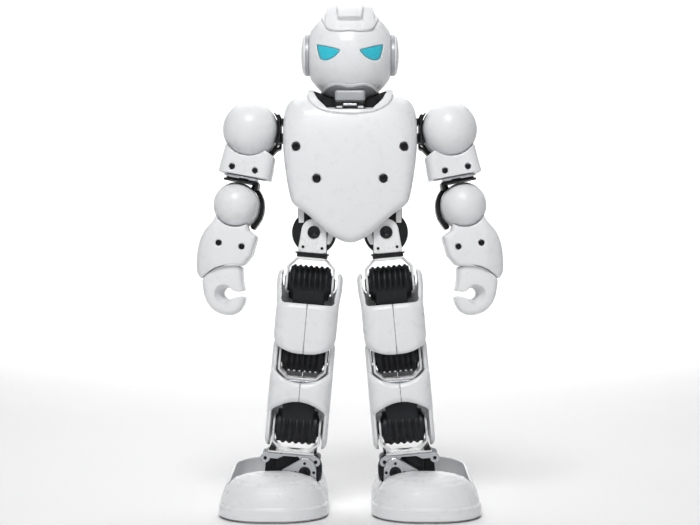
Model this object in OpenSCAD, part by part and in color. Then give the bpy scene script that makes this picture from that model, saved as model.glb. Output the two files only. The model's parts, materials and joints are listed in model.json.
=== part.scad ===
// Humanoid desktop robot with sixteen servo joints, standing, facing -Y.
// Origin: middle of the standing footprint, on the floor. Its own left side is +X.
// Every limb part is drawn once, for the left side, and mirrored for the right.

/* [Torso] */
// Half width of the torso at the shoulders
torso_half_w = 51.8; // [51:0.1:52.5]
// Height of the lower tip of the chest cover
chest_tip_z = 208; // [206:0.5:210]
// Height of the shoulder slope where it meets the collar
chest_top_z = 324; // [322:0.5:326]
// How far the chest cover bulges in front of the arm axis
chest_depth = 36; // [34:0.5:38]
// How far the back cover bulges behind the arm axis
back_depth = 30; // [28:0.5:32]
// Wall of the plastic covers
wall = 2.4; // [2:0.1:2.6]

/* [Head] */
// Radius of the head
head_r = 36; // [35:0.5:36.5]
// Height of the middle of the head
head_z = 355.2; // [354:0.2:356]
// Half width of the head between its flat sides
head_flat_x = 31.7; // [31:0.1:32.5]
// Radius of the ear discs
ear_r = 16.1; // [14:0.1:17]

/* [Arms] */
// Height of the shoulder axes
shoulder_z = 297; // [296:0.5:298]
// Distance of the shoulder roll axis from the middle
shoulder_x = 77.6; // [77.4:0.1:79]
// Outward lean of the arms as they stand
arm_lean = 10.4; // [9:0.1:12]
// Shoulder roll axis to elbow axis
upper_arm_len = 61; // [60.5:0.1:62]
// Radius of the shoulder dome
shoulder_dome_r = 21.1; // [20.6:0.1:21.2]
// Radius of the elbow dome
elbow_dome_r = 17.6; // [17.2:0.1:17.8]

/* [Legs] */
// Distance of the hip roll axis from the middle
hip_x = 27.8; // [27.5:0.1:28.5]
// Height of the hip roll axis
hip_z = 216.5; // [216:0.1:217]
// Outward lean of the legs as they stand
leg_lean = 5.1; // [4.9:0.05:5.3]
// Hip roll axis to hip pitch axis
hip_drop = 39.5; // [39.5:0.1:40]
// Hip pitch axis to knee, and knee to ankle pitch axis
leg_link = 56; // [55.5:0.1:56.5]
// Half width of the leg covers
leg_half_w = 24.5; // [24.3:0.1:24.8]
// Half depth of the leg covers
leg_half_d = 22; // [21.6:0.1:22.2]

/* [Feet] */
// Inner edge of the foot from the middle
foot_inner_x = 16.7; // [16.5:0.1:17.5]
// Width of the foot
foot_w = 83.4; // [82:0.1:85]
// Length of the foot
foot_l = 124; // [122:1:126]
// Thickness of the sole plate
sole_h = 4; // [3.5:0.1:4.5]
// Height of the heel wall
heel_h = 35; // [33:0.5:36]
// Distance of the ankle roll axis from the middle
ankle_x = 34.9; // [34.7:0.1:35.2]
// Height of the ankle roll axis
ankle_z = 31.6; // [31.4:0.1:31.8]

/* [Servos] */
// Radius of the ribbed drum round the output axis
servo_r = 14; // [13.8:0.1:14.1]
// Width of the servo along its axis
servo_w = 31; // [30.6:0.1:31.2]
// Reach of the servo case from its axis
servo_reach = 27; // [26:0.1:27.5]
// Radius of the output shaft
shaft_r = 3; // [2.5:0.1:3.5]

/* [Hidden] */
$fn = 64;

white = "#f2f3f4";
black = "#1a1b1d";
metal = "#b9bcc0";
grey = "#8d9095";
cyan = "#46c4d6";

// Clearances
slip = 0.05;   // shaft in its bearing
gap = 0.3;     // between parts that only stand beside each other
big = 900;      // longer than anything it cuts

// Servo case and horn
rib_pitch = 4.2;
rib_h = 1;
shaft_out = 2.5;
horn_r = 7.5;
sheet = 1.8;
arm_in = servo_w / 2 + 1.5;
arm_out = arm_in + sheet;
yoke_drop = 18;
yoke_half_y = 9.4;

// Heights in the leg's own line, below the hip roll axis
pitch_z = -hip_drop;
knee_z = pitch_z - leg_link;
ankle_pitch_z = knee_z - leg_link;

// ---------- shared shapes ----------

// Flat outline in (y, z), given a thickness along X about x = 0
module along_x(w) { rotate([90, 0, 90]) linear_extrude(w, center = true) children(); }

// Flat outline in (x, z), given a thickness along Y about y = 0
module along_y(w) { rotate([90, 0, 0]) linear_extrude(w, center = true) children(); }

// Half space on one side of x = 0, pulled back by half a seam
module half_x(side, seam) { translate([side * (big / 2 + seam / 2), 0, 0]) cube(big, center = true); }
module half_y(side, seam) { translate([0, side * (big / 2 + seam / 2), 0]) cube(big, center = true); }

// Corner points of a rounded rectangle
function rounded(w, d, r, n = 5) = [
  for (q = [0:3], i = [0:n])
    let (a = 90 * q + 90 * i / n, sx = (q == 0 || q == 3) ? 1 : -1, sy = q < 2 ? 1 : -1)
    [sx * (w / 2 - r) + r * cos(a), sy * (d / 2 - r) + r * sin(a)]
];

module on_side(side) {
  if (side < 0) mirror([1, 0, 0]) children();
  else children();
}

// Frames: the arm's line from the shoulder roll axis, the leg's line from the hip roll axis
module in_arm(side) {
  on_side(side) translate([shoulder_x, 0, shoulder_z]) rotate([0, -arm_lean, 0]) children();
}
module in_leg(side) {
  on_side(side) translate([hip_x, 0, hip_z]) rotate([0, -leg_lean, 0]) children();
}

// Servo with its axis along X and its case reaching down; both shaft ends stand out
module servo(r = servo_r, w = servo_w, shaft_w = servo_w + 2 * shaft_out, reach = servo_reach) {
  mid_w = w - rib_pitch;
  ribs = floor((mid_w / 2 - 1) / rib_pitch);
  color(black) {
    difference() {
      union() {
        along_x(w) circle(r - 1.5);
        along_x(mid_w) circle(r - rib_h);
        for (i = [-ribs:ribs]) translate([i * rib_pitch, 0, 0]) along_x(rib_pitch * 0.52) circle(r);
        translate([0, 0, -reach / 2]) cube([w - 3, 2 * r - 3.6, reach], center = true);
      }
      for (s = [-1, 1]) translate([s * (w / 2 - 1.5), 0, -reach + 5]) cube([4, 18, 3], center = true);
    }
    along_x(shaft_w) circle(shaft_r);
  }
}

// U yoke over a servo whose axis is X; its floor lies below the axis
module yoke(floor_z = yoke_drop, tip_r = 10) {
  low = -floor_z - sheet;
  bevel = 6;
  difference() {
    intersection() {
      along_y(2 * tip_r + 2) difference() {
        polygon([[-arm_out, tip_r + 1], [-arm_out, low + bevel], [-arm_out + bevel, low],
          [arm_out - bevel, low], [arm_out, low + bevel], [arm_out, tip_r + 1]]);
        polygon([[-arm_in, tip_r + 2], [-arm_in, low + bevel + 0.7], [-arm_in + bevel - 1, low + sheet],
          [arm_in - bevel + 1, low + sheet], [arm_in, low + bevel + 0.7], [arm_in, tip_r + 2]]);
      }
      along_x(2 * arm_out + 2) {
        circle(tip_r);
        translate([-yoke_half_y, low - 1]) square([2 * yoke_half_y, -low + 1]);
      }
    }
    along_x(2 * arm_out + 2) circle(shaft_r + slip);
    for (s = [-1, 1]) translate([s * 4.5, 0, low]) cylinder(r = 1.2, h = 8, center = true);
  }
  horns(arm_in);
}

// Horn discs inside the yoke arms
module horns(inner) {
  for (s = [-1, 1]) translate([s * (inner - 0.6), 0, 0])
    along_x(1.2) difference() { circle(horn_r); circle(shaft_r + slip); }
}

// ---------- torso ----------

// Right and left edge points of the torso outline, from the tip up one side, scaled about its middle
torso_side = [
  [9.5, chest_tip_z + 3], [19.3, chest_tip_z + 10], [32.8, chest_tip_z + 23], [43, chest_tip_z + 29],
  [45.9, chest_tip_z + 34], [torso_half_w - 2, 264], [torso_half_w, 282], [torso_half_w, 306],
  [torso_half_w - 2.2, 315], [44.5, chest_top_z - 3], [34, chest_top_z]
];
torso_mid_z = 272;
module torso_outline(k = 1, inset = 0) {
  up = [for (p = torso_side) [k * p[0] - inset, torso_mid_z + k * (p[1] - torso_mid_z)
    - (p[1] > torso_mid_z ? inset : -inset)]];
  n = len(up);
  polygon(concat([[0, torso_mid_z + k * (chest_tip_z - torso_mid_z) + inset]], up,
    [for (i = [n - 1:-1:0]) [-up[i][0], up[i][1]]]));
}

// One level of the chest or back bulge
module level(y, k, inset = 0) {
  translate([0, y, 0]) along_y(0.02) torso_outline(k, inset);
}
module chest_body(inset = 0) {
  hull() {
    level(-gap / 2 + inset / 2, 1, inset);
    level(-chest_depth * 0.55, 0.985, inset);
    level(-chest_depth * 0.83 + inset * 0.5, 0.9, inset);
    level(-chest_depth + inset, 0.7, inset);
  }
}
module back_body(inset = 0) {
  hull() {
    level(gap / 2 - inset / 2, 1, inset);
    level(back_depth * 0.6, 0.985, inset);
    level(back_depth - inset, 0.84, inset);
  }
}

// Neck opening and the two arm openings, shared by both torso covers
neck_half_top = 29;
neck_half_low = 16.8;
neck_low_z = 312;
module neck_cut() {
  along_y(big) polygon([[-neck_half_low, neck_low_z], [neck_half_low, neck_low_z],
    [neck_half_top, chest_top_z + 4], [neck_half_top, chest_top_z + 20],
    [-neck_half_top, chest_top_z + 20], [-neck_half_top, chest_top_z + 4]]);
}
arm_hole_r = 11.4;
module arm_cut() { translate([0, 0, shoulder_z]) along_x(big) circle(arm_hole_r); }

// Room for the hip servos and the hip brackets under both covers
hip_room_y = 21;
hip_room_z = 240;
module hip_cut() {
  translate([-49, -hip_room_y, hip_room_z - 46]) cube([98, 2 * hip_room_y, 46]);
}

collar_w = 5;
module chest_cover() color(white) {
  difference() {
    chest_body();
    chest_body(wall);
    neck_cut();
    arm_cut();
    hip_cut();
    for (p = screw_places) translate([p[0], 0, p[1]]) rotate([90, 0, 0]) cylinder(r = 2, h = 60);
    for (p = screw_places) translate([p[0], -p[2] + screw_h, p[1]])
      rotate([90, 0, 0]) cylinder(r = screw_r + 0.1, h = 20);
  }
  collar();
}

// Raised lip round the front of the neck opening
collar_h = 1.5;
module collar() difference() {
  intersection() {
    chest_body(-collar_h);
    along_y(big) polygon([[-neck_half_low - collar_w, neck_low_z - collar_w],
      [neck_half_low + collar_w, neck_low_z - collar_w],
      [neck_half_top + collar_w, chest_top_z + 3], [-neck_half_top - collar_w, chest_top_z + 3]]);
  }
  chest_body(wall);
  neck_cut();
}

// Countersunk screws of the chest: x, z and the depth of their heads
screw_r = 3.1;
screw_h = 1.6;
screw_places = [[-41, 281.5, 27.6], [41, 281.5, 27.6], [-25.3, 257.1, 32.4], [25.3, 257.1, 32.4]];
module chest_screws() color(black) {
  for (p = screw_places) translate([p[0], -p[2] + screw_h - 0.2, p[1]]) rotate([90, 0, 0]) {
    cylinder(r = screw_r, h = screw_h);
    translate([0, 0, -8]) cylinder(r = 1.9, h = 8.5);
  }
}

vent_count = 6;
vent_pitch = 5;
jack_r = 3.4;
jack_z = 246;
switch_x = 16;
switch_z = 246;
module back_cover() color(white) difference() {
  back_body();
  back_body(wall);
  neck_cut();
  arm_cut();
  hip_cut();
  for (i = [0:vent_count - 1]) translate([0, back_depth, 268 + i * vent_pitch])
    cube([34, 12, 2], center = true);
  translate([-switch_x, back_depth - 4, jack_z]) rotate([-90, 0, 0]) cylinder(r = jack_r, h = 10);
  translate([switch_x, back_depth, switch_z]) cube([14.6, 12, 9.6], center = true);
}

// Rocker of the power switch, on its own little hinge line along X
rocker_axis_y = back_depth - 3.4;
switch_pin_r = 1;
module power_switch() color(black) translate([switch_x, rocker_axis_y, switch_z]) {
  intersection() {
    along_x(13.4) difference() {
      circle(4.2);
      translate([-9, -9]) square([7, 18]);
    }
    along_x(20) polygon([[-3, -3.9], [5, -3.9], [4, 0], [5, 3.9], [-3, 3.9]]);
  }
  along_x(16.4) circle(switch_pin_r);
}

// Folded metal frame: a back plate, a shelf over the hip servos and straps in front of them
frame_y = 15.7;
frame_t = 1.5;
frame_out = frame_y + frame_t;
shelf_z = hip_z + servo_reach + 0.6;
deck_z = shoulder_z + servo_r + 0.3;
module body_frame() color(metal) {
  translate([0, frame_y + frame_t / 2, 0]) along_y(frame_t) difference() {
    polygon([[-38, 232], [38, 232], [42, 250], [45, 280], [45, 300], [36, 308], [30, deck_z + frame_t],
      [-30, deck_z + frame_t], [-36, 308], [-45, 300], [-45, 280], [-42, 250]]);
    for (s = [-1, 1]) translate([s * hip_x, hip_z]) circle(22);
    translate([-17, 254]) square([34, 34]);
  }
  translate([-41, -frame_out, shelf_z]) cube([82, 2 * frame_out, frame_t]);
  translate([-30, -frame_y, deck_z]) cube([60, 2 * frame_y + 0.5, frame_t]);
  for (s = [-1, 1]) on_side(s) translate([35.5, -frame_out, 224]) cube([4, frame_t, shelf_z - 223.5]);
}

battery_h = 20;
module battery_pack() color(black) translate([0, 0, shelf_z + frame_t + battery_h / 2 + 0.1])
  difference() {
    cube([64, 26, battery_h], center = true);
    for (s = [-1, 1]) translate([s * 22, -13, 0]) cube([2, 1, 30], center = true);
  }

board_y = 19;
board_t = 1.6;
board_back = board_y + board_t / 2;
module control_board() {
  color("#1f6b45") translate([0, board_y, 270]) cube([70, board_t, 62], center = true);
  color(black) {
    translate([0, board_back + 1.5, 284]) cube([14, 3.02, 14], center = true);
    translate([-switch_x, board_back - 0.01, jack_z]) rotate([-90, 0, 0]) difference() {
      cylinder(r = jack_r - gap, h = back_depth - board_back - 0.6);
      translate([0, 0, 2]) cylinder(r = 2.1, h = 20);
    }
    for (s = [-1, 1]) translate([switch_x + s * 8, 0, switch_z]) difference() {
      translate([-0.7, board_back - 0.01, -3]) cube([1.4, 7.6, 6]);
      translate([0, rocker_axis_y, 0]) along_x(4) circle(switch_pin_r + slip);
    }
  }
}

module shoulder_servos() {
  for (s = [-1, 1]) on_side(s) translate([torso_half_w - 19.6, 0, shoulder_z]) servo();
}

hub_r = 17;
module hip_roll_servos() {
  for (s = [-1, 1]) on_side(s) translate([hip_x, 0, hip_z]) rotate([0, 0, 90]) {
    mirror([0, 0, 1]) servo();
    color(black) for (e = [-1, 1]) translate([e * (servo_w / 2 - 1.3), 0, 0]) along_x(2.4) circle(hub_r);
  }
}

// ---------- head ----------

neck_flange_z = head_z - sqrt(pow(head_r - wall, 2) - pow(16.5, 2)) + 0.15;
module neck_bracket() color(black) {
  foot = deck_z + frame_t;
  neck_guard(foot);
  translate([0, 0, foot]) cylinder(r = 12, h = neck_flange_z - foot + 1);
  translate([0, 0, neck_flange_z]) cylinder(r = 16.5, h = 2);
}

// Guard round the neck, low in front so that the catch under the chin stays clear
guard_h = 7.4;
module neck_guard(foot) translate([0, 0, foot]) difference() {
  translate([0, 0.5, 0]) linear_extrude(guard_h) polygon(rounded(54, 27, 8));
  translate([0, 0, 2.4]) cylinder(r1 = 17, r2 = 21, h = guard_h);
  translate([-14, -20, 1.8]) cube([28, 20, guard_h]);
}

module head_solid(r) {
  difference() {
    translate([0, 0, head_z]) sphere(r, $fn = 96);
    for (s = [-1, 1])
      translate([s * (big / 2 + head_flat_x - (head_r - r)), 0, head_z]) cube(big, center = true);
  }
}
module head_shell() {
  difference() {
    head_solid(head_r);
    head_solid(head_r - wall);
    translate([0, 0, head_z - head_r]) cylinder(r = 15, h = 18, center = true);
    for (s = [-1, 1]) translate([s * head_flat_x, 0, head_z]) along_x(12) circle(9);
  }
}

// Eye outline on the left side of the face, from the outer top corner
eye = [[25.1, 4.2], [7.7, -1], [11.4, -5], [15, -7], [17.7, -7.6], [21.3, -7.1], [23.2, -4.6]];
module eye_solid(grow) {
  for (s = [-1, 1]) on_side(s) translate([0, -head_r / 2 - 8, head_z])
    along_y(head_r - 14) offset(delta = grow) polygon(eye);
}
module face_shell() color(white) difference() {
  intersection() { head_shell(); half_y(-1, 0.2); }
  eye_solid(0.15);
}
module rear_head_shell() color(white) intersection() { head_shell(); half_y(1, 0.2); }
module eye_lenses() color(cyan) intersection() {
  difference() { head_solid(head_r - 0.2); head_solid(head_r - 2); }
  eye_solid(0);
}

ear_ring_w = 3.3;
ear_cap_w = 3.4;
module ear_discs() for (s = [-1, 1])
  on_side(s) translate([head_flat_x + 0.01, 0, head_z]) rotate([0, 90, 0]) {
  color(grey) cylinder(r = ear_r, h = ear_ring_w);
  color(white) translate([0, 0, ear_ring_w - 0.01]) intersection() {
    cylinder(r = ear_r - 0.2, h = ear_cap_w);
    translate([0, 0, -36]) sphere(36 + ear_cap_w, $fn = 96);
  }
  color(black) translate([0, 0, -4]) cylinder(r = 8.7, h = 4.02);
}

// Raised forehead plate with its visor ledge and two ridges
crest_t = 2;
crest_low = [[0, 14.8], [7, 14.2], [12.8, 14.7], [18.5, 18.4], [22.4, 28]];
module head_crest() color(white) {
  difference() {
    intersection() {
      head_solid(head_r + crest_t);
      translate([0, -20, head_z]) along_y(48) polygon(concat(crest_low, [[22.4, 45]],
        [[-22.4, 45]], [for (i = [len(crest_low) - 1:-1:0]) [-crest_low[i][0], crest_low[i][1]]]));
    }
    translate([0, 0, head_z]) sphere(head_r + 0.1, $fn = 96);
  }
  // crown hump and visor ledge
  difference() {
    hull() {
      translate([0, -6, head_z + 34]) scale([1, 1.5, 0.6]) sphere(14, $fn = 32);
      translate([0, -27, head_z + 29]) cube([20, 6, 1.2], center = true);
    }
    translate([0, 0, head_z]) sphere(head_r + 0.1, $fn = 96);
  }
  // ridges
  for (s = [-1, 1]) difference() {
    hull() {
      translate([s * 16, -17, head_z + 32]) sphere(4, $fn = 24);
      translate([s * 14.5, 2, head_z + 34]) sphere(3.4, $fn = 24);
    }
    translate([0, 0, head_z]) sphere(head_r + 0.1, $fn = 96);
  }
}

// Chin: a raised plate under the face and the boxed catch hanging from it
chin_high = [[0, -27.4], [6, -26], [11.3, -25.5], [16, -26.5], [20, -28.6], [22.5, -33]];
module chin_guard() color(grey) {
  difference() {
    intersection() {
      translate([0, 0, head_z]) sphere(head_r + 1.6, $fn = 96);
      translate([0, -19, head_z]) along_y(38) polygon(concat(chin_high, [[22.5, -50], [-22.5, -50]],
        [for (i = [len(chin_high) - 1:-1:1]) [-chin_high[i][0], chin_high[i][1]]]));
    }
    translate([0, 0, head_z]) sphere(head_r + 0.1, $fn = 96);
    translate([0, 0, head_z - head_r]) cylinder(r = 15, h = 18, center = true);
  }
  difference() {
    translate([0, -20, 320.6]) cube([23.4, 8, 9], center = true);
    translate([0, 0, head_z]) sphere(head_r + 0.1, $fn = 96);
    translate([0, 0, head_z - head_r]) cylinder(r = 15, h = 18, center = true);
  }
}

// ---------- arms ----------

elbow_x = shoulder_x + upper_arm_len * sin(arm_lean);
elbow_z = shoulder_z - upper_arm_len * cos(arm_lean);
module at_shoulder(side) { on_side(side) translate([shoulder_x, 0, shoulder_z]) children(); }
module at_elbow(side) { on_side(side) translate([elbow_x, 0, elbow_z]) children(); }

// Arm servos are smaller; their axis lies along Y and their rear shaft reaches through the bracket
arm_servo_r = 13;
arm_servo_w = 25;
arm_servo_y = 1.4;
elbow_case_lean = 14.5;
arm_back_y = 15.2;
bracket_y = 15.8;
bracket_t = 2.4;
module arm_servo() translate([0, arm_servo_y, 0]) rotate([0, 0, 90])
  servo(arm_servo_r, arm_servo_w, 2 * (bracket_y + bracket_t - arm_servo_y));

// Room left in the covers for the case of an arm servo
module arm_case_room() translate([0, arm_servo_y, -servo_reach / 2])
  cube([2 * arm_servo_r - 3.2, arm_servo_w - 2.6, servo_reach + 0.4], center = true);

// Round cover: a dome facing -Y whose round side runs back to y = depth
dome_y = 4;
module dome(r, depth) {
  n = 12;
  rotate([90, 0, 0]) rotate_extrude() polygon(concat([[0, -depth], [0, r + dome_y]],
    [for (i = [1:n]) [r * sin(90 * i / n), r * cos(90 * i / n) + dome_y]], [[r, -depth]]));
}

// Flat sector between two angles, measured about the joint in (x, z)
module sector(from, to, r) {
  n = 8;
  polygon(concat([[0, 0]], [for (i = [0:n]) let (a = from + (to - from) * i / n) [r * cos(a), r * sin(a)]]));
}

// Rear bracket arm with a horn disc and a bore round the servo's shaft; axis along Y
module rear_arm(r) {
  translate([0, bracket_y, 0]) rotate([-90, 0, 0]) difference() {
    union() {
      cylinder(r = r, h = bracket_t);
      translate([0, 0, -1.4]) cylinder(r = horn_r, h = 2);
    }
    translate([0, 0, -2]) cylinder(r = shaft_r + slip, h = bracket_t + 4);
  }
}

// Shoulder bracket: horn on the torso side, side plate, rear arm and the strap round the dome
plate_in = -(shoulder_x - torso_half_w - 2);
plate_t = 2.2;
strap_y = 3;
module shoulder_bracket(side) color(black) at_shoulder(side) {
  difference() {
    union() {
      translate([plate_in, -12, -14]) cube([plate_t, bracket_y + bracket_t + 12, 28]);
      translate([plate_in - 4.4, 0, 0]) rotate([0, 90, 0]) cylinder(r = 9.6, h = 4.5);
      for (e = [-1, 1]) translate([plate_in - 1.7, -3.5, e * 7 - 3]) cube([2, 7, 6]);
      translate([plate_in, bracket_y, -12]) cube([-plate_in, bracket_t, 24]);
      translate([0, (strap_y + bracket_y + bracket_t) / 2, 0]) along_y(bracket_y + bracket_t - strap_y)
        polygon([[plate_in, -9], [plate_in + plate_t, -9], [plate_in + plate_t, -10.6], [-13.2, -19.6],
          [-15.8, -23], [plate_in, -15]]);
    }
    translate([plate_in - 5, 0, 0]) rotate([0, 90, 0]) cylinder(r = shaft_r + slip, h = 3.5);
    rotate([-90, 0, 0]) cylinder(r = shaft_r + slip, h = 40);
  }
  rear_arm(12.5);
}

module shoulder_roll_servo(side) { in_arm(side) arm_servo(); }

// Upper arm block in the arm's line: x limits, floor and front
block_in = -23.2;
block_out = 15.7;
block_low = -36.8;
block_front = 20;
module upper_arm_block(inset = 0, low = block_low) {
  w = block_out - block_in - 2 * inset;
  d = block_front + arm_back_y - 2 * inset;
  translate([(block_in + block_out) / 2, (arm_back_y - block_front) / 2, low])
    linear_extrude(-low - 11) polygon(rounded(w, d, 8 - inset));
}
module upper_arm_shell() difference() {
  union() {
    dome(shoulder_dome_r, arm_back_y);
    difference() {
      upper_arm_block();
      along_y(big) difference() { sector(150, 221, 60); circle(shoulder_dome_r); }
    }
  }
  dome(shoulder_dome_r - wall, arm_back_y - wall);
  upper_arm_block(wall, block_low + wall);
  arm_case_room();
}
module upper_arm_front_cover(side) color(white) in_arm(side) intersection() {
  upper_arm_shell();
  half_y(-1, 0.2);
}
module upper_arm_rear_cover(side) color(white) in_arm(side) difference() {
  intersection() { upper_arm_shell(); half_y(1, 0.2); }
  rotate([-90, 0, 0]) cylinder(r = arm_servo_r + gap, h = 40);
  translate([0, 0.1, 0]) translate([0, big / 2, 0]) along_y(big) difference() {
    sector(150, 232, 60);
    circle(shoulder_dome_r);
  }
}

// Elbow bracket, hung under the upper arm block: floor plate, rear arm and the guard round the dome
guard_r = 20.8;
module elbow_bracket(side) {
  color(metal) in_arm(side) translate([-14, -9, block_low - 0.4 - 2.6]) cube([27, bracket_y + 9 + 1, 2.6]);
  color(black) at_elbow(side) {
    translate([0, bracket_y + bracket_t / 2, 0]) along_y(bracket_t) difference() {
      rotate([0, 0, arm_lean]) translate([-9, 0]) square([18, upper_arm_len + block_low - 0.4]);
      circle(shaft_r + slip);
    }
    rear_arm(12);
    translate([0, (strap_y + bracket_y + bracket_t) / 2, 0]) along_y(bracket_y + bracket_t - strap_y)
      intersection() {
        difference() { circle(guard_r); circle(guard_r - 2.4); }
        sector(118, 226, 40);
      }
    translate([0, bracket_y + bracket_t / 2, 0]) along_y(bracket_t) intersection() {
      circle(guard_r);
      sector(118, 226, 40);
      difference() { circle(guard_r); circle(shaft_r + 2); }
    }
  }
}

module elbow_servo(side) { at_elbow(side) rotate([0, -elbow_case_lean, 0]) arm_servo(); }

// Forearm outline in (x outward, z), from the dome down the outer side and back up the inner side
forearm = [[10, 6], [17, -10.5], [26, -20], [31, -38], [29.6, -52.3], [26.4, -55.7], [-6.5, -47.5],
  [-12.5, -39.6], [-17.3, -24.1], [-10.2, -16.8], [-8, 6]];
seam_c = [4.4, -72.6];
seam_r = 27;
forearm_front = 17;
module forearm_shell() difference() {
  union() {
    dome(elbow_dome_r, arm_back_y);
    translate([0, (arm_back_y - forearm_front) / 2, 0]) along_y(arm_back_y + forearm_front) difference() {
      polygon(forearm);
      translate(seam_c) circle(seam_r + 0.1);
    }
  }
  dome(elbow_dome_r - wall, arm_back_y - wall);
  translate([0, (arm_back_y - forearm_front) / 2, 0]) along_y(arm_back_y + forearm_front - 2 * wall)
    difference() {
      offset(delta = -wall) polygon(forearm);
      translate(seam_c) circle(seam_r + wall);
    }
  rotate([0, -elbow_case_lean, 0]) arm_case_room();
}
module forearm_front_cover(side) color(white) at_elbow(side) intersection() {
  forearm_shell();
  half_y(-1, 0.2);
}
module forearm_rear_cover(side) color(white) at_elbow(side) difference() {
  intersection() { forearm_shell(); half_y(1, 0.2); }
  rotate([-90, 0, 0]) cylinder(r = arm_servo_r + gap, h = 40);
  translate([0, 0.1 + big / 2, 0]) along_y(big) difference() {
    sector(100, 243, 60);
    circle(elbow_dome_r);
  }
}

// Hand: a thick hook with a round grip hole and a slot opening toward the leg
hand = [[26, -45], [25.8, -60], [23.8, -72.8], [17.8, -80.9], [10, -84.3], [3.1, -85], [-2.8, -82.4],
  [-6.5, -75.8], [-7.6, -71.6], [-6.9, -67], [-6.1, -54.4], [-6.1, -44]];
grip_c = [8.7, -69.1];
grip_r = 6.6;
hand_half_d = 13;
slot_h = 3.8;
module hand_piece(side) color(white) at_elbow(side) difference() {
  along_y(2 * hand_half_d) difference() {
    intersection() {
      polygon(hand);
      translate(seam_c) circle(seam_r - 0.1);
    }
    translate([grip_c[0] - 20, grip_c[1] - slot_h / 2 + 0.1]) square([20, slot_h]);
  }
  translate([grip_c[0], 0, grip_c[1]]) rotate([90, 0, 0]) cylinder(r = 5, h = 60, center = true);
  translate([grip_c[0], -hand_half_d - 0.01, grip_c[1]]) rotate([-90, 0, 0])
    cylinder(r1 = grip_r, r2 = 5, h = hand_half_d);
}

// ---------- legs ----------

// Hip yoke: ears round the hip roll servo above, yoke arms round the hip pitch servo below
ear_in = servo_w / 2 + 2.1;
ear_t = 1.8;
lug_r = 11;
module hip_yoke(side) color(metal) in_leg(side) {
  floor_z = pitch_z + yoke_drop;
  translate([0, 0, pitch_z]) mirror([0, 0, 1]) yoke();
  difference() {
    union() {
      translate([-lug_r, -ear_in - ear_t, floor_z]) cube([2 * lug_r, 2 * (ear_in + ear_t), sheet]);
      for (s = [-1, 1]) translate([0, s * (ear_in + ear_t / 2), 0]) along_y(ear_t) {
        circle(lug_r - 0.4);
        translate([-10.4, floor_z]) square([20.8, -floor_z]);
      }
    }
    rotate([90, 0, 0]) cylinder(r = shaft_r + slip, h = 60, center = true);
  }
  for (s = [-1, 1]) translate([0, s * (ear_in - 0.9), 0]) along_y(1.82) difference() {
    circle(horn_r);
    circle(shaft_r + slip);
  }
}

module thigh_servos(side) in_leg(side) {
  translate([0, 0, pitch_z]) servo();
  translate([0, 0, knee_z]) mirror([0, 0, 1]) servo();
}

// Leg cover: a rounded tube cut to a side outline, closed by its own walls
module leg_tube(inset, low, high) {
  translate([0, 0, low]) linear_extrude(high - low)
    polygon(rounded(2 * (leg_half_w - inset), 2 * (leg_half_d - inset), 13 - inset));
}
knee_ear_r = 12;
hip_ear_r = 9.5;
ankle_ear_r = 16.5;
module thigh_cover(side, outer) color(white) in_leg(side) difference() {
  intersection() {
    difference() {
      leg_tube(0, knee_z - 1, pitch_z + hip_ear_r);
      leg_tube(wall, knee_z - 10, pitch_z + 30);
    }
    along_x(big) difference() {
      union() {
        translate([0, pitch_z]) circle(hip_ear_r);
        polygon([[-hip_ear_r + 0.3, pitch_z], [-leg_half_d - 1, pitch_z - 19], [-leg_half_d - 1, knee_z + 3],
          [-12, knee_z + 1], [0, knee_z + 10], [9.5, knee_z + 10.5], [leg_half_d + 1, knee_z + 25],
          [leg_half_d + 1, pitch_z - 19], [hip_ear_r - 0.3, pitch_z]]);
      }
      translate([0, knee_z]) circle(knee_ear_r + 1);
    }
    half_x(outer ? 1 : -1, 0.2);
  }
}

module shank_cover(side, outer) color(white) in_leg(side) difference() {
  intersection() {
    difference() {
      leg_tube(0, ankle_pitch_z - ankle_ear_r, knee_z + knee_ear_r);
      leg_tube(wall, ankle_pitch_z - 40, knee_z + 30);
    }
    along_x(big) union() {
      translate([0, knee_z]) circle(knee_ear_r);
      polygon([[-knee_ear_r + 0.3, knee_z], [-leg_half_d - 1, knee_z - 11],
        [-leg_half_d - 1, ankle_pitch_z + 20.6],
        [-leg_half_d + 1.5, ankle_pitch_z + 18], [-ankle_ear_r + 0.3, ankle_pitch_z],
        [ankle_ear_r - 0.3, ankle_pitch_z],
        [leg_half_d + 1, ankle_pitch_z + 14.8], [leg_half_d + 1, knee_z - 25], [9.5, knee_z - 10.5]]);
      translate([0, ankle_pitch_z]) circle(ankle_ear_r);
    }
    half_x(outer ? 1 : -1, 0.2);
  }
  translate([0, -leg_half_d, knee_z + 8.6]) along_y(30) circle(30);
}

module knee_yoke(side) color(metal) in_leg(side) translate([0, 0, knee_z]) yoke();

module ankle_pitch_servo(side) in_leg(side) translate([0, 0, ankle_pitch_z]) mirror([0, 0, 1]) servo();

// Ankle bracket: yoke above, mounting plates in front of and behind the roll servo
roll_r = 13;
roll_w = 29;
roll_reach = 31;
// Ankle roll axis in the leg's own line
roll_lx = (ankle_x - hip_x) * cos(leg_lean) + (ankle_z - hip_z) * sin(leg_lean);
roll_lz = -(ankle_x - hip_x) * sin(leg_lean) + (ankle_z - hip_z) * cos(leg_lean);
lug_z = ankle_pitch_z - yoke_drop - sheet;
module ankle_bracket(side) color(metal) in_leg(side) {
  translate([0, 0, ankle_pitch_z]) yoke();
  translate([-15, -roll_w / 2 - 1.5, lug_z]) cube([34, roll_w + 3, sheet]);
  for (s = [-1, 1]) translate([0, s * (roll_w / 2 + 0.8), 0]) along_y(1.4) {
    polygon([[-17, lug_z], [22, lug_z], [22, lug_z - 5], [12.5, lug_z - 5.2], [8, lug_z - 2.6],
      [-3.4, lug_z - 2.4], [-6, lug_z - 5.6], [-17, lug_z - 5]]);
    for (x = [-17, 22]) translate([x, lug_z - 5.1]) circle(3.7);
  }
}
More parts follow.
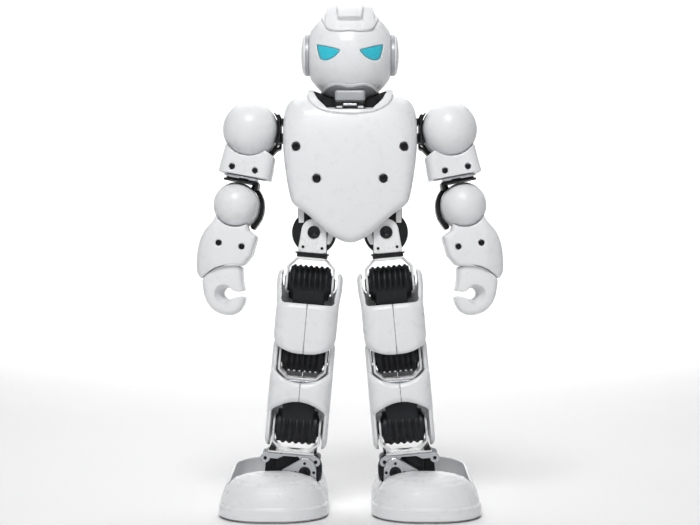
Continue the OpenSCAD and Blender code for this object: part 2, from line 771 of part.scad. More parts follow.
module ankle_roll_servo(side) in_leg(side) translate([roll_lx, 0, roll_lz]) rotate([0, -90, 0])
  rotate([0, 0, 90]) servo(r = roll_r, w = roll_w, reach = roll_reach);

// ---------- feet ----------

foot_mid_x = foot_inner_x + foot_w / 2;
toe_back_y = -20.5;
module foot_outline(inset = 0) {
  translate([foot_mid_x, 0]) polygon(rounded(foot_w - 2 * inset, foot_l - 2 * inset, 36 - inset, 8));
}
foot_ear_y = roll_w / 2 + 2.3;
foot_ear_r = 9.7;
foot_ear_in = 9.2;
foot_ear_out = 21;
module foot_sole(side) on_side(side) {
  color(white) linear_extrude(sole_h) foot_outline();
  color(metal) difference() {
    union() {
      translate([ankle_x - foot_ear_in, -foot_ear_y - 1.8, sole_h - 0.01])
        cube([foot_ear_in + foot_ear_out, 2 * (foot_ear_y + 1.8), 1.8]);
      for (s = [-1, 1]) translate([0, s * (foot_ear_y + 0.9), 0]) along_y(1.8) {
        translate([ankle_x, ankle_z + 1.6]) circle(foot_ear_r);
        translate([ankle_x, 0]) polygon([[-foot_ear_in, ankle_z + 3], [5, ankle_z + 9.9],
          [foot_ear_out - 3.5, ankle_z + 2.6], [foot_ear_out, ankle_z - 5], [foot_ear_out, sole_h],
          [-foot_ear_in, sole_h]]);
      }
    }
    translate([ankle_x, 0, ankle_z]) rotate([90, 0, 0]) cylinder(r = shaft_r + slip, h = 60, center = true);
  }
  color(metal) for (s = [-1, 1]) translate([ankle_x, s * (foot_ear_y - 0.85), ankle_z]) along_y(1.72)
    difference() {
      circle(horn_r);
      circle(shaft_r + slip);
    }
}

toe_wall_h = 8.4;
toe_back_z = 33;
// Toe cap: an upright rim with a dome rising to its rear edge
module toe_dome(inset) {
  hull() {
    for (lv = [[0, 0], [toe_wall_h, 0.2], [toe_wall_h + 8, 3], [22, 9], [29, 16], [toe_back_z, 24]])
      translate([0, 0, sole_h + 0.01 + max(0, lv[0] - sole_h - (lv[0] > toe_wall_h ? inset : 0))])
        linear_extrude(0.02) intersection() {
          foot_outline(lv[1] + inset);
          translate([0, -60 - big + toe_back_y + 60]) square([big, big]);
        }
  }
}
module toe_cap(side) color(white) on_side(side) difference() {
  toe_dome(0);
  translate([0, 0.5, -1]) toe_dome(wall);
}

// Heel collar: its top rises from the instep to the back, and is lower on the inner side
heel_front_z = 26;
heel_rise_y = 24;
heel_notch = 2.6;
module heel_shell(side) color(white) on_side(side) difference() {
  translate([0, 0, sole_h]) linear_extrude(heel_h - sole_h) difference() {
    foot_outline(0.6);
    foot_outline(0.6 + wall);
    translate([0, toe_back_y + 0.5 - big]) square([big, big]);
  }
  along_x(big) polygon([[-big, heel_front_z], [toe_back_y, heel_front_z], [heel_rise_y, heel_h],
    [heel_rise_y, big], [-big, big]]);
  translate([foot_inner_x - 1, -foot_l, heel_h - heel_notch]) cube([12, 2 * foot_l, 2 * heel_notch]);
}

// ---------- pieces ----------

chest_cover();
back_cover();
body_frame();
battery_pack();
control_board();
shoulder_servos();
hip_roll_servos();
neck_bracket();
face_shell();
rear_head_shell();
eye_lenses();
ear_discs();
head_crest();
chin_guard();
chest_screws();
power_switch();
shoulder_bracket(-1);  // right_shoulder_bracket
shoulder_roll_servo(-1);  // right_shoulder_roll_servo
upper_arm_front_cover(-1);  // right_upper_arm_front_cover
upper_arm_rear_cover(-1);  // right_upper_arm_rear_cover
elbow_bracket(-1);  // right_elbow_bracket
elbow_servo(-1);  // right_elbow_servo
forearm_front_cover(-1);  // right_forearm_front_cover
forearm_rear_cover(-1);  // right_forearm_rear_cover
hand_piece(-1);  // right_hand
shoulder_bracket(1);  // left_shoulder_bracket
shoulder_roll_servo(1);  // left_shoulder_roll_servo
upper_arm_front_cover(1);  // left_upper_arm_front_cover
upper_arm_rear_cover(1);  // left_upper_arm_rear_cover
elbow_bracket(1);  // left_elbow_bracket
elbow_servo(1);  // left_elbow_servo
forearm_front_cover(1);  // left_forearm_front_cover
forearm_rear_cover(1);  // left_forearm_rear_cover
hand_piece(1);  // left_hand
hip_yoke(-1);  // right_hip_yoke
thigh_servos(-1);  // right_thigh_servos
thigh_cover(-1, true);  // right_thigh_outer_cover
thigh_cover(-1, false);  // right_thigh_inner_cover
knee_yoke(-1);  // right_knee_yoke
ankle_pitch_servo(-1);  // right_ankle_pitch_servo
shank_cover(-1, true);  // right_shank_outer_cover
shank_cover(-1, false);  // right_shank_inner_cover
ankle_bracket(-1);  // right_ankle_bracket
ankle_roll_servo(-1);  // right_ankle_roll_servo
foot_sole(-1);  // right_foot_sole
toe_cap(-1);  // right_toe_cap
heel_shell(-1);  // right_heel_shell
hip_yoke(1);  // left_hip_yoke
thigh_servos(1);  // left_thigh_servos
thigh_cover(1, true);  // left_thigh_outer_cover
thigh_cover(1, false);  // left_thigh_inner_cover
knee_yoke(1);  // left_knee_yoke
ankle_pitch_servo(1);  // left_ankle_pitch_servo
shank_cover(1, true);  // left_shank_outer_cover
shank_cover(1, false);  // left_shank_inner_cover
ankle_bracket(1);  // left_ankle_bracket
ankle_roll_servo(1);  // left_ankle_roll_servo
foot_sole(1);  // left_foot_sole
toe_cap(1);  // left_toe_cap
heel_shell(1);  // left_heel_shell
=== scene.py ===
"""Looks of the humanoid robot kit: moulded covers, ribbed servos, folded yokes and their fasteners."""
import json
import math
from itertools import product

import bpy
import numpy as np
from mathutils import Matrix, Vector
from numpy import clip, hypot, maximum, minimum, sqrt


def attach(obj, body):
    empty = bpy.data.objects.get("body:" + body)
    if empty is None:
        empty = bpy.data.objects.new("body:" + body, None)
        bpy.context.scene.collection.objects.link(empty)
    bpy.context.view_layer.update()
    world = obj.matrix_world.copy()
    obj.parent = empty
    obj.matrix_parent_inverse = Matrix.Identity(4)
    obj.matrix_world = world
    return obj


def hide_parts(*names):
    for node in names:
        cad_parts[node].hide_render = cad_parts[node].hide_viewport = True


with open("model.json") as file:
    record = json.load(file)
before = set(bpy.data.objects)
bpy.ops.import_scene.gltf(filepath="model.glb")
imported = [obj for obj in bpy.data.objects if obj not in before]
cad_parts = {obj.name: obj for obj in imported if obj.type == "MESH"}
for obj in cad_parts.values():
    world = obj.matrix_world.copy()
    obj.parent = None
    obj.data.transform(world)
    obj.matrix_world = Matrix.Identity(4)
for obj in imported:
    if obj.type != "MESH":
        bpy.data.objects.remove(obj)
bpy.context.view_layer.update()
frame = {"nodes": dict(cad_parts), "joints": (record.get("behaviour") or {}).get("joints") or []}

MM = 0.001               # metres in a millimetre
HERE = np.eye(4)          # a placement that moves nothing
ROOT_HALF = 0.7071        # for 45 degree bevels
STEP = 1.0      # size of the sampling cells, in mm
JOINTS = {j["name"]: j for j in frame["joints"]}


def joint_mm(name):
    """Place of a hinge at rest, in mm."""
    return np.array(JOINTS[name]["pos_m"]) / MM


# ---------------------------------------------------------------- distance fields
# A field takes x, y, z in mm and returns the distance to a surface, negative inside.

def smax(a, b, r):
    """Intersection with a rounded edge."""
    h = maximum(r - abs(a - b), 0.0)
    return maximum(a, b) + h * h / (4.0 * r)


def smin(a, b, r):
    """Union with a fillet."""
    return -smax(-a, -b, r)


def cut(a, b, r=0.8):
    """a without b."""
    return smax(a, -b, r)


def poly(points, u, v):
    """Signed distance to a closed flat outline."""
    best, inside = None, False
    for (ax, ay), (bx, by) in zip(points, list(points[1:]) + [points[0]]):
        ex, ey = bx - ax, by - ay
        wx, wy = u - ax, v - ay
        t = clip((wx * ex + wy * ey) / (ex * ex + ey * ey), 0.0, 1.0)
        d = (wx - ex * t) ** 2 + (wy - ey * t) ** 2
        best = d if best is None else minimum(best, d)
        if ey:
            crosses = ((ay <= v) & (v < by)) | ((by <= v) & (v < ay))
            inside = inside ^ (crosses & (u < ax + (v - ay) * ex / ey))
    return np.where(inside, -1.0, 1.0) * sqrt(best)


def soften(points, rounds=3):
    """A closed outline with its corners rounded off."""
    for _ in range(rounds):
        points = [p for a, b in zip(points, points[1:] + points[:1])
                  for p in ((0.75 * a[0] + 0.25 * b[0], 0.75 * a[1] + 0.25 * b[1]),
                            (0.25 * a[0] + 0.75 * b[0], 0.25 * a[1] + 0.75 * b[1]))]
    return points


def mirrored(half):
    """A closed outline from its right half, listed from bottom to top."""
    return list(half) + [(-x, z) for x, z in reversed(half) if abs(x) > 0.01]


def rect(u, v, hu, hv, r):
    """Flat rounded rectangle round the origin."""
    du, dv = abs(u) - hu + r, abs(v) - hv + r
    return hypot(maximum(du, 0), maximum(dv, 0)) + minimum(maximum(du, dv), 0) - r


def block(x, y, z, low, high, r):
    """Rounded box between two corners."""
    d = [abs(p - (a + b) / 2) - (b - a) / 2 + r for p, a, b in zip((x, y, z), low, high)]
    out = sqrt(sum(maximum(q, 0) ** 2 for q in d))
    return out + minimum(maximum(maximum(d[0], d[1]), d[2]), 0) - r


def ball(x, y, z, r):
    return sqrt(x * x + y * y + z * z) - r


# ---------------------------------------------------------------- from field to mesh

CORNERS = list(product((0, 1), repeat=3))
EDGES = [(a, b) for a in range(8) for b in range(a + 1, 8)
         if sum(abs(p - q) for p, q in zip(CORNERS[a], CORNERS[b])) == 1]


def slope_of(field, p, reach=0.05):
    return np.stack([(field(*(p + e).T) - field(*(p - e).T)) / (2 * reach)
                     for e in np.eye(3) * reach], axis=1)


def settle(field, p, rounds=3):
    """Moves points onto the field's surface along its slope."""
    for _ in range(rounds):
        d = field(*p.T)
        slope = slope_of(field, p)
        size = maximum((slope ** 2).sum(axis=1), 0.25)
        p = p - clip(d / size, -0.6, 0.6)[:, None] * slope
    return p


def skin(field, low, high, step):
    """Points and quads of the field's surface inside a box, one point to a crossed cell."""
    low = np.array(low, float) - 1.5 * step
    count = np.ceil((np.array(high) + 1.5 * step - low) / step).astype(int) + 1
    axes = [low[i] + step * np.arange(count[i]) for i in range(3)]
    grid = np.meshgrid(*axes, indexing="ij", sparse=True)
    d = np.array(np.broadcast_to(field(*grid), count), dtype=np.float32)
    inside = d < 0
    part = lambda a, c: a[tuple(slice(o, n - 1 + o) for o, n in zip(c, count))]
    total = sum(part(inside, c).astype(np.int8) for c in CORNERS)
    live = (total > 0) & (total < 8)
    where = np.argwhere(live)
    value = [part(d, c)[live] for c in CORNERS]
    place, hits = np.zeros((len(where), 3)), np.zeros(len(where))
    for a, b in EDGES:
        crossed = (value[a] < 0) != (value[b] < 0)
        gap = np.where(crossed, value[a] - value[b], 1.0)
        t = np.where(crossed, value[a] / gap, 0.0)
        ca, cb = np.array(CORNERS[a]), np.array(CORNERS[b])
        place += crossed[:, None] * (ca + t[:, None] * (cb - ca))
        hits += crossed
    points = low + step * (where + place / hits[:, None])
    index = np.full(live.shape, -1)
    index[live] = np.arange(len(where))
    quads = []
    for axis in range(3):
        u, v = (axis + 1) % 3, (axis + 2) % 3
        near = np.take(inside, range(0, count[axis] - 1), axis)
        far = np.take(inside, range(1, count[axis]), axis)
        spots = np.argwhere(near != far)
        spots = spots[(spots[:, u] > 0) & (spots[:, v] > 0)]
        spots = spots[(spots[:, u] < count[u] - 1) & (spots[:, v] < count[v] - 1)]
        flip = near[tuple(spots.T)]
        ring = []
        for du, dv in ((-1, -1), (0, -1), (0, 0), (-1, 0)):
            q = spots.copy()
            q[:, u] += du
            q[:, v] += dv
            ring.append(index[tuple(q.T)])
        ring = np.stack(ring, axis=1)
        ring[~flip] = ring[~flip][:, ::-1]
        quads.append(ring)
    points = settle(field, points)
    normals = slope_of(field, points)
    normals /= maximum(np.linalg.norm(normals, axis=1), 1e-6)[:, None]
    return points, np.concatenate(quads).tolist(), normals


def mesh_object(name, points, faces, place, mat, normals=None):
    """A mesh in metres from points in mm, moved by a 4x4 placement that may mirror."""
    m = np.array(place)
    points = points @ m[:3, :3].T + m[:3, 3]
    faces = [tuple(dict.fromkeys(f)) for f in faces]
    if np.linalg.det(m[:3, :3]) < 0:
        faces = [f[::-1] for f in faces]
    mesh = bpy.data.meshes.new(name)
    mesh.from_pydata((points * MM).tolist(), [], faces)
    mesh.polygons.foreach_set("use_smooth", np.ones(len(mesh.polygons), dtype=bool))
    if normals is None:
        mesh.set_sharp_from_angle(angle=math.radians(40))
    else:
        mesh.normals_split_custom_set_from_vertices((normals @ m[:3, :3].T).tolist())
    mesh.materials.append(mat)
    obj = bpy.data.objects.new(name, mesh)
    bpy.context.scene.collection.objects.link(obj)
    return obj


def put(obj, body, nodes=""):
    """Rides a piece on its body, in place of the CAD nodes named."""
    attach(obj, body)
    if nodes:
        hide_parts(*nodes.split())


def moulded(name, field, low, high, body, mat, nodes="", fine=1.0):
    """One piece from a field."""
    points, faces, normals = skin(field, low, high, STEP * fine)
    put(mesh_object(name, points, faces, HERE, mat, normals), body, nodes)


def on_both_sides(name, shape, body, mat, nodes="", place=HERE):
    """A piece on the left and, mirrored, on the right. place puts the left one; SIDE stands for either."""
    points, faces, *normals = shape
    for side, flip in (("left", 1), ("right", -1)):
        mirror = np.diag([flip, 1, 1, 1]) @ place
        obj = mesh_object(f"{side}_{name}", points, faces, mirror, mat, *normals)
        put(obj, body.replace("SIDE", side), nodes.replace("SIDE", side))


def pair(name, field, low, high, body, mat, nodes="", place=HERE, fine=1.0):
    """One piece from a field on each side."""
    on_both_sides(name, skin(field, low, high, STEP * fine), body, mat, nodes, place)


# ---------------------------------------------------------------- turned parts

def lathe(rings, count=48):
    """Surface of revolution about Z from (radius, z) pairs that start and end on the axis."""
    points, faces = [], []
    body = rings[1:-1]
    for r, z in body:
        points += [(r * math.cos(2 * math.pi * i / count), r * math.sin(2 * math.pi * i / count), z)
                   for i in range(count)]
    for k in range(len(body) - 1):
        for i in range(count):
            j = (i + 1) % count
            faces.append((k * count + i, k * count + j, (k + 1) * count + j, (k + 1) * count + i))
    tips = [len(points), len(points) + 1]
    points += [(0, 0, rings[0][1]), (0, 0, rings[-1][1])]
    last = (len(body) - 1) * count
    for i in range(count):
        j = (i + 1) % count
        faces.append((tips[0], j, i, i))
        faces.append((tips[1], last + i, last + j, last + j))
    return np.array(points, float), faces


def chamfered(profile, c=0.35):
    """A turned profile with each of its corners cut back by c."""
    out = [profile[0]]
    for a, b, d in zip(profile, profile[1:], profile[2:]):
        for o in (a, d):
            gap = math.hypot(o[0] - b[0], o[1] - b[1])
            t = min(c / gap, 0.45) if gap else 0
            out.append((b[0] + t * (o[0] - b[0]), b[1] + t * (o[1] - b[1])))
    return out + [profile[-1]]


def join_parts(parts):
    """Merges (points, faces) lists into one."""
    points, faces, base = [], [], 0
    for p, f in parts:
        points.append(np.asarray(p, float))
        faces += [tuple(base + i for i in face) for face in f]
        base += len(p)
    return np.concatenate(points), faces


def moved(part, matrix):
    """A (points, faces) part under a 4x4 matrix."""
    m = np.array(matrix)
    p = np.asarray(part[0], float) @ m[:3, :3].T + m[:3, 3]
    faces = part[1]
    if np.linalg.det(m[:3, :3]) < 0:
        faces = [tuple(reversed(f)) for f in faces]
    return p, faces


def at(x, y, z):
    return np.array(Matrix.Translation((x, y, z)))


def turn(degrees, axis):
    return np.array(Matrix.Rotation(math.radians(degrees), 4, axis))


TO_X = turn(90, "Y")       # a turned part's axis from Z to X
TO_FRONT = turn(90, "X")   # a turned part's axis from Z to -Y


def turned(profile, chamfer, count=40):
    """A chamfered turned part with its axis along X."""
    return moved(lathe(chamfered(profile, chamfer), count), TO_X)


# ---------------------------------------------------------------- materials


def base_material(name):
    """A principled material, with helpers for a texture and a colour ramp in object space."""
    mat = bpy.data.materials.new(name)
    mat.use_nodes = True
    nodes, links = mat.node_tree.nodes, mat.node_tree.links
    where = nodes.new("ShaderNodeTexCoord")

    def texture(scale, detail=2.0, distort=0.0, kind="ShaderNodeTexNoise"):
        n = nodes.new(kind)
        n.inputs["Scale"].default_value = scale
        n.inputs["Detail"].default_value = detail
        n.inputs["Distortion"].default_value = distort
        links.new(where.outputs["Object"], n.inputs["Vector"])
        return n.outputs["Fac"]

    def ramp(source, low, high, a=0.3, b=0.7):
        r = nodes.new("ShaderNodeValToRGB")
        r.color_ramp.elements[0].position, r.color_ramp.elements[1].position = a, b
        r.color_ramp.elements[0].color, r.color_ramp.elements[1].color = low, high
        links.new(source, r.inputs["Fac"])
        return r.outputs["Color"]

    return mat, nodes, links, texture, ramp


def grey(value):
    return (value, value, value, 1.0)


def material(name, slot, colour, rough, metallic, coat, tint, grain, bump, wave=0.0, soil=0.0):
    """Principled surface with cloudy colour, uneven gloss and a fine moulded or blasted grain."""
    mat, nodes, links, texture, ramp = base_material(name)
    shader = nodes["Principled BSDF"]
    shader.inputs["Metallic"].default_value = metallic
    shader.inputs["Coat Weight"].default_value = coat
    shader.inputs["Coat Roughness"].default_value = 0.12
    shader.inputs["Specular IOR Level"].default_value = 0.36
    low, high = (tuple(min(1.0, c * k) for c in colour) + (1.0,) for k in (1.0 - tint, 1.0 + tint))
    tone = ramp(texture(38.0, 4.0, 0.4), low, high)
    if soil:
        mix = nodes.new("ShaderNodeMix")
        mix.data_type = "RGBA"
        mix.blend_type = "MULTIPLY"
        mix.inputs["Factor"].default_value = 1.0
        links.new(tone, mix.inputs["A"])
        links.new(ramp(texture(520.0, 6.0), grey(1 - soil), grey(1.0), 0.25, 0.55), mix.inputs["B"])
        tone = mix.outputs["Result"]
    links.new(tone, shader.inputs["Base Color"])
    links.new(ramp(texture(140.0, 3.0), grey(rough * 0.82), grey(rough * 1.2)), shader.inputs["Roughness"])
    height = texture(grain, 3.0)
    if wave:
        blend = nodes.new("ShaderNodeMath")
        blend.operation = "MULTIPLY"
        links.new(texture(wave, 3.0, 2.0, "ShaderNodeTexWave"), blend.inputs[0])
        links.new(height, blend.inputs[1])
        height = blend.outputs[0]
    b = nodes.new("ShaderNodeBump")
    b.inputs["Strength"].default_value = bump
    b.inputs["Distance"].default_value = 0.0002
    links.new(height, b.inputs["Height"])
    links.new(b.outputs["Normal"], shader.inputs["Normal"])
    return mat


# name, slot, colour, roughness, metallic, coat, tint, grain, bump, wave, soil
WHITE, SILVER, CHIN, EYES, CASE, BLACK, HORN, BRIGHT, STEEL, SCREW, BOARD, WRAP = (material(*row) for row in (
    ("shell_white", "white_shell", (0.83, 0.838, 0.85), 0.3, 0.0, 0.0, 0.007, 1400, 0.05),
    ("ring_silver", "ear_ring", (0.42, 0.435, 0.455), 0.34, 0.15, 0.0, 0.03, 1600, 0.08),
    ("chin_grey", "ear_ring", (0.36, 0.37, 0.385), 0.36, 0.1, 0.0, 0.03, 1500, 0.1),
    ("eye_cyan", "eye_lens", (0.045, 0.56, 0.70), 0.3, 0.0, 0.1, 0.04, 700, 0.03),
    ("servo_charcoal", "servo_case", (0.0075, 0.0085, 0.0105), 0.46, 0.0, 0.0, 0.12, 2200, 0.2, 0, 0.1),
    ("bracket_black", "black_bracket", (0.005, 0.0055, 0.007), 0.42, 0.0, 0.0, 0.12, 3000, 0.3, 0, 0.12),
    ("horn_black", "servo_case", (0.0065, 0.007, 0.009), 0.38, 0.0, 0.0, 0.1, 1800, 0.12),
    ("sheet_bright", "bright_bracket", (0.86, 0.865, 0.87), 0.3, 0.1, 0.1, 0.02, 2600, 0.1),
    ("steel_satin", "bright_bracket", (0.56, 0.575, 0.60), 0.3, 0.7, 0.0, 0.04, 2400, 0.12, 260),
    ("screw_black", "screw_black", (0.012, 0.012, 0.014), 0.3, 0.3, 0.0, 0.1, 2000, 0.1),
    ("board_green", None, (0.02, 0.12, 0.06), 0.4, 0.0, 0.0, 0.25, 900, 0.2, 420),
    ("battery_wrap", None, (0.02, 0.025, 0.045), 0.35, 0.0, 0.0, 0.15, 1100, 0.25)))


def dress(nodes, mat):
    """Gives the CAD nodes that stay a finer material."""
    for name in nodes:
        slots = frame["nodes"][name].material_slots
        for s in slots:
            s.material = mat


def screw(radius, height, recess=0.55):
    """Pan head with a cross recess, standing on z = 0 and facing +Z."""
    def field(x, y, z):
        head = smax(hypot(x, y) - radius, z - height, 0.9)
        head = smax(head, -z - 1.0, 0.2)
        arm = radius * recess
        w = radius * 0.13
        cross = minimum(rect(x, y, arm, w, 0.1), rect(x, y, w, arm, 0.1))
        return smax(head, -smax(cross, (height - 0.7) - z, 0.2), 0.15)
    return skin(field, (-radius, -radius, -1.1), (radius, radius, height), radius / 9.0)


# ---------------------------------------------------------------- torso

WALL = 2.3                # wall of the covers
SEAM = 0.12               # half the gap between two covers
TORSO = soften([(0, 207.6)] + mirrored([(9.5, 210.8), (19.3, 217.6), (32.8, 230.6), (42.6, 236.9),
    (45.9, 242), (49.8, 264), (51.8, 282), (51.8, 306), (49.6, 315), (44.5, 321), (34, 324.2)]), 2)
NECK = mirrored([(16.6, 310.2), (24.6, 318.3), (28.4, 325), (29, 340)])
COLLAR = soften(mirrored([(0, 306.4), (8.4, 306.7), (21.6, 308.9), (31.1, 315.6), (33.4, 323.6),
    (33.6, 345)]), 1)
SHOULDER = joint_mm("left_shoulder_roll")
ELBOW = joint_mm("left_elbow")
HIP = joint_mm("left_hip_roll")
CHEST_Z, BACK_Z = 272, 275     # heights at which the chest and the back bulge most
CHEST_SCREWS = [(-41, 281.5), (41, 281.5), (-25.3, 257.1), (25.3, 257.1)]


def hollow(outer, edge):
    """A cover's wall under its outer surface."""
    return smax(outer, -(outer + WALL), edge)


def chest_reach(x, z):
    up = maximum(z - CHEST_Z, 0)
    down = maximum(CHEST_Z - z, 0)
    return 35.6 - 0.0035 * up * up - 0.0021 * down * down - 0.0018 * x * x


def back_reach(x, z):
    up = maximum(z - BACK_Z, 0)
    down = maximum(BACK_Z - z, 0)
    return 29.8 - 0.0042 * up * up - 0.0026 * down * down - 0.0020 * x * x


def torso_outer(x, y, z, reach, side):
    edge = poly(TORSO, x, z)
    soft = clip(7.0 + (z - 232) * 0.16, 7.0, 20.0)
    return smax(edge, side * y - reach(x, z), soft)


def torso_openings(x, y, z):
    neck = poly(NECK, x, z)
    arms = maximum(hypot(y, z - SHOULDER[2]) - 11.4, 20 - abs(x))
    hips = block(x, y, z, (-52, -21, 190), (52, 21, 239), 2.0)
    return minimum(minimum(neck, arms), hips)


def chest_field(x, y, z):
    outer = torso_outer(x, y, z, chest_reach, -1)
    lip = smax(outer - 1.5 - 2.2 * clip((z - 316.5) / 7.0, 0, 1), poly(COLLAR, x, z), 1.3)
    lip = smax(lip, z - 329.6, 1.4)
    outer_all = smin(outer, lip, 0.8)
    shell = smax(outer_all, -(outer + WALL), 0.7)
    shell = smax(shell, y + SEAM, 0.5)
    shell = cut(shell, torso_openings(x, y, z), 1.0)
    for sx, sz in CHEST_SCREWS:
        r = hypot(x - sx, z - sz)
        shell = cut(shell, r - 2.2, 0.3)
        shell = cut(shell, smax(r - 3.5, -(outer + 1.2), 0.2), 0.6)
    return shell


def back_field(x, y, z):
    outer = torso_outer(x, y, z, back_reach, 1)
    shell = hollow(outer, 0.7)
    shell = smax(shell, SEAM - y, 0.5)
    shell = cut(shell, torso_openings(x, y, z), 1.0)
    # a shallow framed panel round the slots, and the sockets below it
    frame_line = abs(rect(x, z - 276, 26, 28, 6)) - 0.35
    shell = cut(shell, smax(frame_line, -(outer + 0.5), 0.2), 0.3)
    for i in range(6):
        slot_z = 268 + 5 * i
        shell = cut(shell, smax(rect(x, z - slot_z, 17, 1.0, 0.9), 10 - y, 0.3), 0.5)
    shell = cut(shell, smax(hypot(x + 16, z - 246) - 3.4, 10 - y, 0.3), 0.6)
    shell = cut(shell, smax(rect(x - 16, z - 246, 7.3, 4.8, 0.6), 10 - y, 0.3), 0.6)
    for sx, sz in ((-41, 281.5), (41, 281.5), (-30, 236), (30, 236)):
        r = hypot(x - sx, z - sz)
        shell = cut(shell, smax(r - 3.2, -(outer + 1.6), 0.2), 0.5)
    return shell


moulded("chest_shell", chest_field, (-53, -38, 206), (53, 0, 331), "torso", WHITE, "chest_cover")
moulded("back_shell", back_field, (-53, 0, 206), (53, 31, 325), "torso", WHITE, "back_cover")

head_points, head_faces, head_normals = screw(3.15, 1.5)
for number, (sx, sz) in enumerate(CHEST_SCREWS):
    depth = -float(chest_reach(np.float64(sx), np.float64(sz)))
    obj = mesh_object(f"chest_screw_{number + 1}", head_points, head_faces,
                      at(sx, depth + 1.5, sz) @ TO_FRONT, SCREW, head_normals)
    put(obj, "torso", nodes="" if number else "chest_screws")


# ---------------------------------------------------------------- head

HEAD_Z, HEAD_R = 355.2, 36.0
FLAT_X = 31.7             # the flat sides that carry the ear discs
LEDGE_H = 25.0            # visor ledge above the centre of the head
EYE = soften([(25.2, 4.4), (24.2, 4.3), (8.4, -0.4), (7.6, -1.1), (11.2, -5.0), (15.0, -7.1), (17.7, -7.7),
    (21.0, -7.3), (22.4, -6.2), (23.3, -4.0), (25.0, 3.6)], 1)
CREST = soften(mirrored([(0.0, 14.2), (6.0, 13.7), (11.0, 13.9), (14.2, 14.6), (16.8, 16.0), (18.8, 18.2),
    (20.3, 21.0), (21.6, 24.0), (22.8, 26.8), (21.6, 29.2), (18.4, 32.4), (18.0, 50.0)]), 1)
CHIN_LINE = soften(mirrored([(0.0, -60.0), (26.0, -60.0), (24.6, -35.0), (21.6, -29.8), (17.4, -26.8),
    (12.2, -25.2), (6.6, -25.7), (0.0, -27.3)]), 1)


def head_outer(x, y, z, grow=0.0):
    return smax(ball(x, y, z - HEAD_Z, HEAD_R + grow), abs(x) - FLAT_X - grow, 1.2)


def head_shell_field(x, y, z):
    outer = head_outer(x, y, z)
    shell = hollow(outer, 0.6)
    shell = cut(shell, smax(hypot(x, y) - 15, z - HEAD_Z + 22, 0.4), 0.6)
    return cut(shell, smax(hypot(y, z - HEAD_Z) - 9, 26 - abs(x), 0.4), 0.6)


def face_field(x, y, z):
    shell = smax(head_shell_field(x, y, z), y + SEAM, 0.4)
    eye = maximum(poly(EYE, abs(x), z - HEAD_Z), y)
    return cut(shell, eye - 0.25, 0.7)


def rear_head_field(x, y, z):
    outer = head_outer(x, y, z)
    shell = smax(head_shell_field(x, y, z), SEAM - y, 0.4)
    groove = smax(abs(hypot(x, z - HEAD_Z + 2) - 17.0) - 0.4, -(outer + 0.6), 0.2)
    shell = cut(shell, maximum(groove, -y), 0.3)
    for k in range(-3, 4):
        hole = hypot(x - 3.6 * k, z - HEAD_Z + 2) - 1.0
        shell = cut(shell, maximum(hole, 10 - y), 0.3)
    return shell


def eye_field(x, y, z):
    lens = smax(poly(EYE, x, z - HEAD_Z), head_outer(x, y, z) + 0.35, 0.8)
    return smax(smax(lens, -(head_outer(x, y, z) + 1.9), 0.2), y, 0.2)


def crest_field(x, y, z):
    h = z - HEAD_Z
    side = abs(x)
    centre = ball(x, y, h, 0.0)
    plate = smax(centre - (HEAD_R + 1.9), maximum(poly(CREST, x, h), y + 7.0), 1.6)
    plate = smax(plate, -(centre - (HEAD_R - 0.6)), 0.4)
    # horns that swell out of the plate and fade behind
    swell = clip((y + 27.0) / 11.0, 0, 1)
    fade = clip((26.0 - y) / 22.0, 0, 1)
    lift = 2.0 + 3.9 * (swell * swell * (3 - 2 * swell)) * (fade * fade * (3 - 2 * fade)) - 3.0 * (1 - fade)
    inner = clip(9.4 + (y + 33.0) * 0.13, 9.4, 12.6)
    horn = smax(centre - (HEAD_R + lift), side - 18.6, 1.6)
    horn = smax(horn, inner + 0.4 - side, 1.4)
    horn = smax(smax(horn, 16.0 - h, 1.0), poly(CREST, x, h) + 0.4, 1.2)
    # crown between them, ending in the visor ledge
    rise = HEAD_R + 6.9 - 0.012 * x * x
    cap = centre - rise + 4.6 * (1 - fade) ** 2
    ledge = smax(cap, side - inner + 0.6, 1.6)
    brow = sqrt(maximum(rise * rise - LEDGE_H ** 2 - x * x, 1.0))
    under = 0.78 * (LEDGE_H - h) - 0.63 * (y + brow)
    ledge = smax(ledge, under, 0.5)
    ledge = smax(ledge, y - 25.0, 3.0)
    body = smin(horn, ledge, 2.4)
    body = smax(body, y - 26.0, 3.0)
    body = smax(body, -(centre - (HEAD_R - 0.6)), 0.4)
    return smin(body, plate, 1.6)


def chin_field(x, y, z):
    h = z - HEAD_Z
    centre = ball(x, y, h, 0.0)
    wide = ball(0.9 * x, y, h, 0.0)
    plate = smax(wide - (HEAD_R + 1.5), maximum(poly(CHIN_LINE, x, h), y + 2.0), 0.9)
    plate = smax(plate, -(centre - (HEAD_R - 0.5)), 0.4)
    plate = cut(plate, smax(hypot(x, y) - 15, h + 22, 0.4), 0.6)
    return plate


def chin_rim_field(x, y, z):
    h = z - HEAD_Z
    wide = ball(0.9 * x, y, h, 0.0)
    line = abs(poly(CHIN_LINE, x, h) + 0.2) - 0.95
    rim = smax(abs(wide - (HEAD_R + 1.3)) - 1.1, line, 0.8)
    return smax(smax(rim, y + 6.0, 0.6), -34.0 - h, 0.6)


def catch_field(x, y, z):
    body = block(x, y, z, (-11.7, -25.5, 316.3), (11.7, -14.0, 325.6), 2.4)
    body = smax(body, -(ball(x, y, z - HEAD_Z, 0.0) - HEAD_R - 0.3), 0.5)
    return cut(body, hypot(x, y) - 13.5, 0.5)


def catch_lip_field(x, y, z):
    lip = block(x, y, z, (-11.9, -26.0, 312.9), (11.9, -16.0, 317.0), 1.2)
    return cut(lip, block(x, y, z, (-5.6, -28, 311), (5.6, -20, 315.6), 0.4), 0.3)


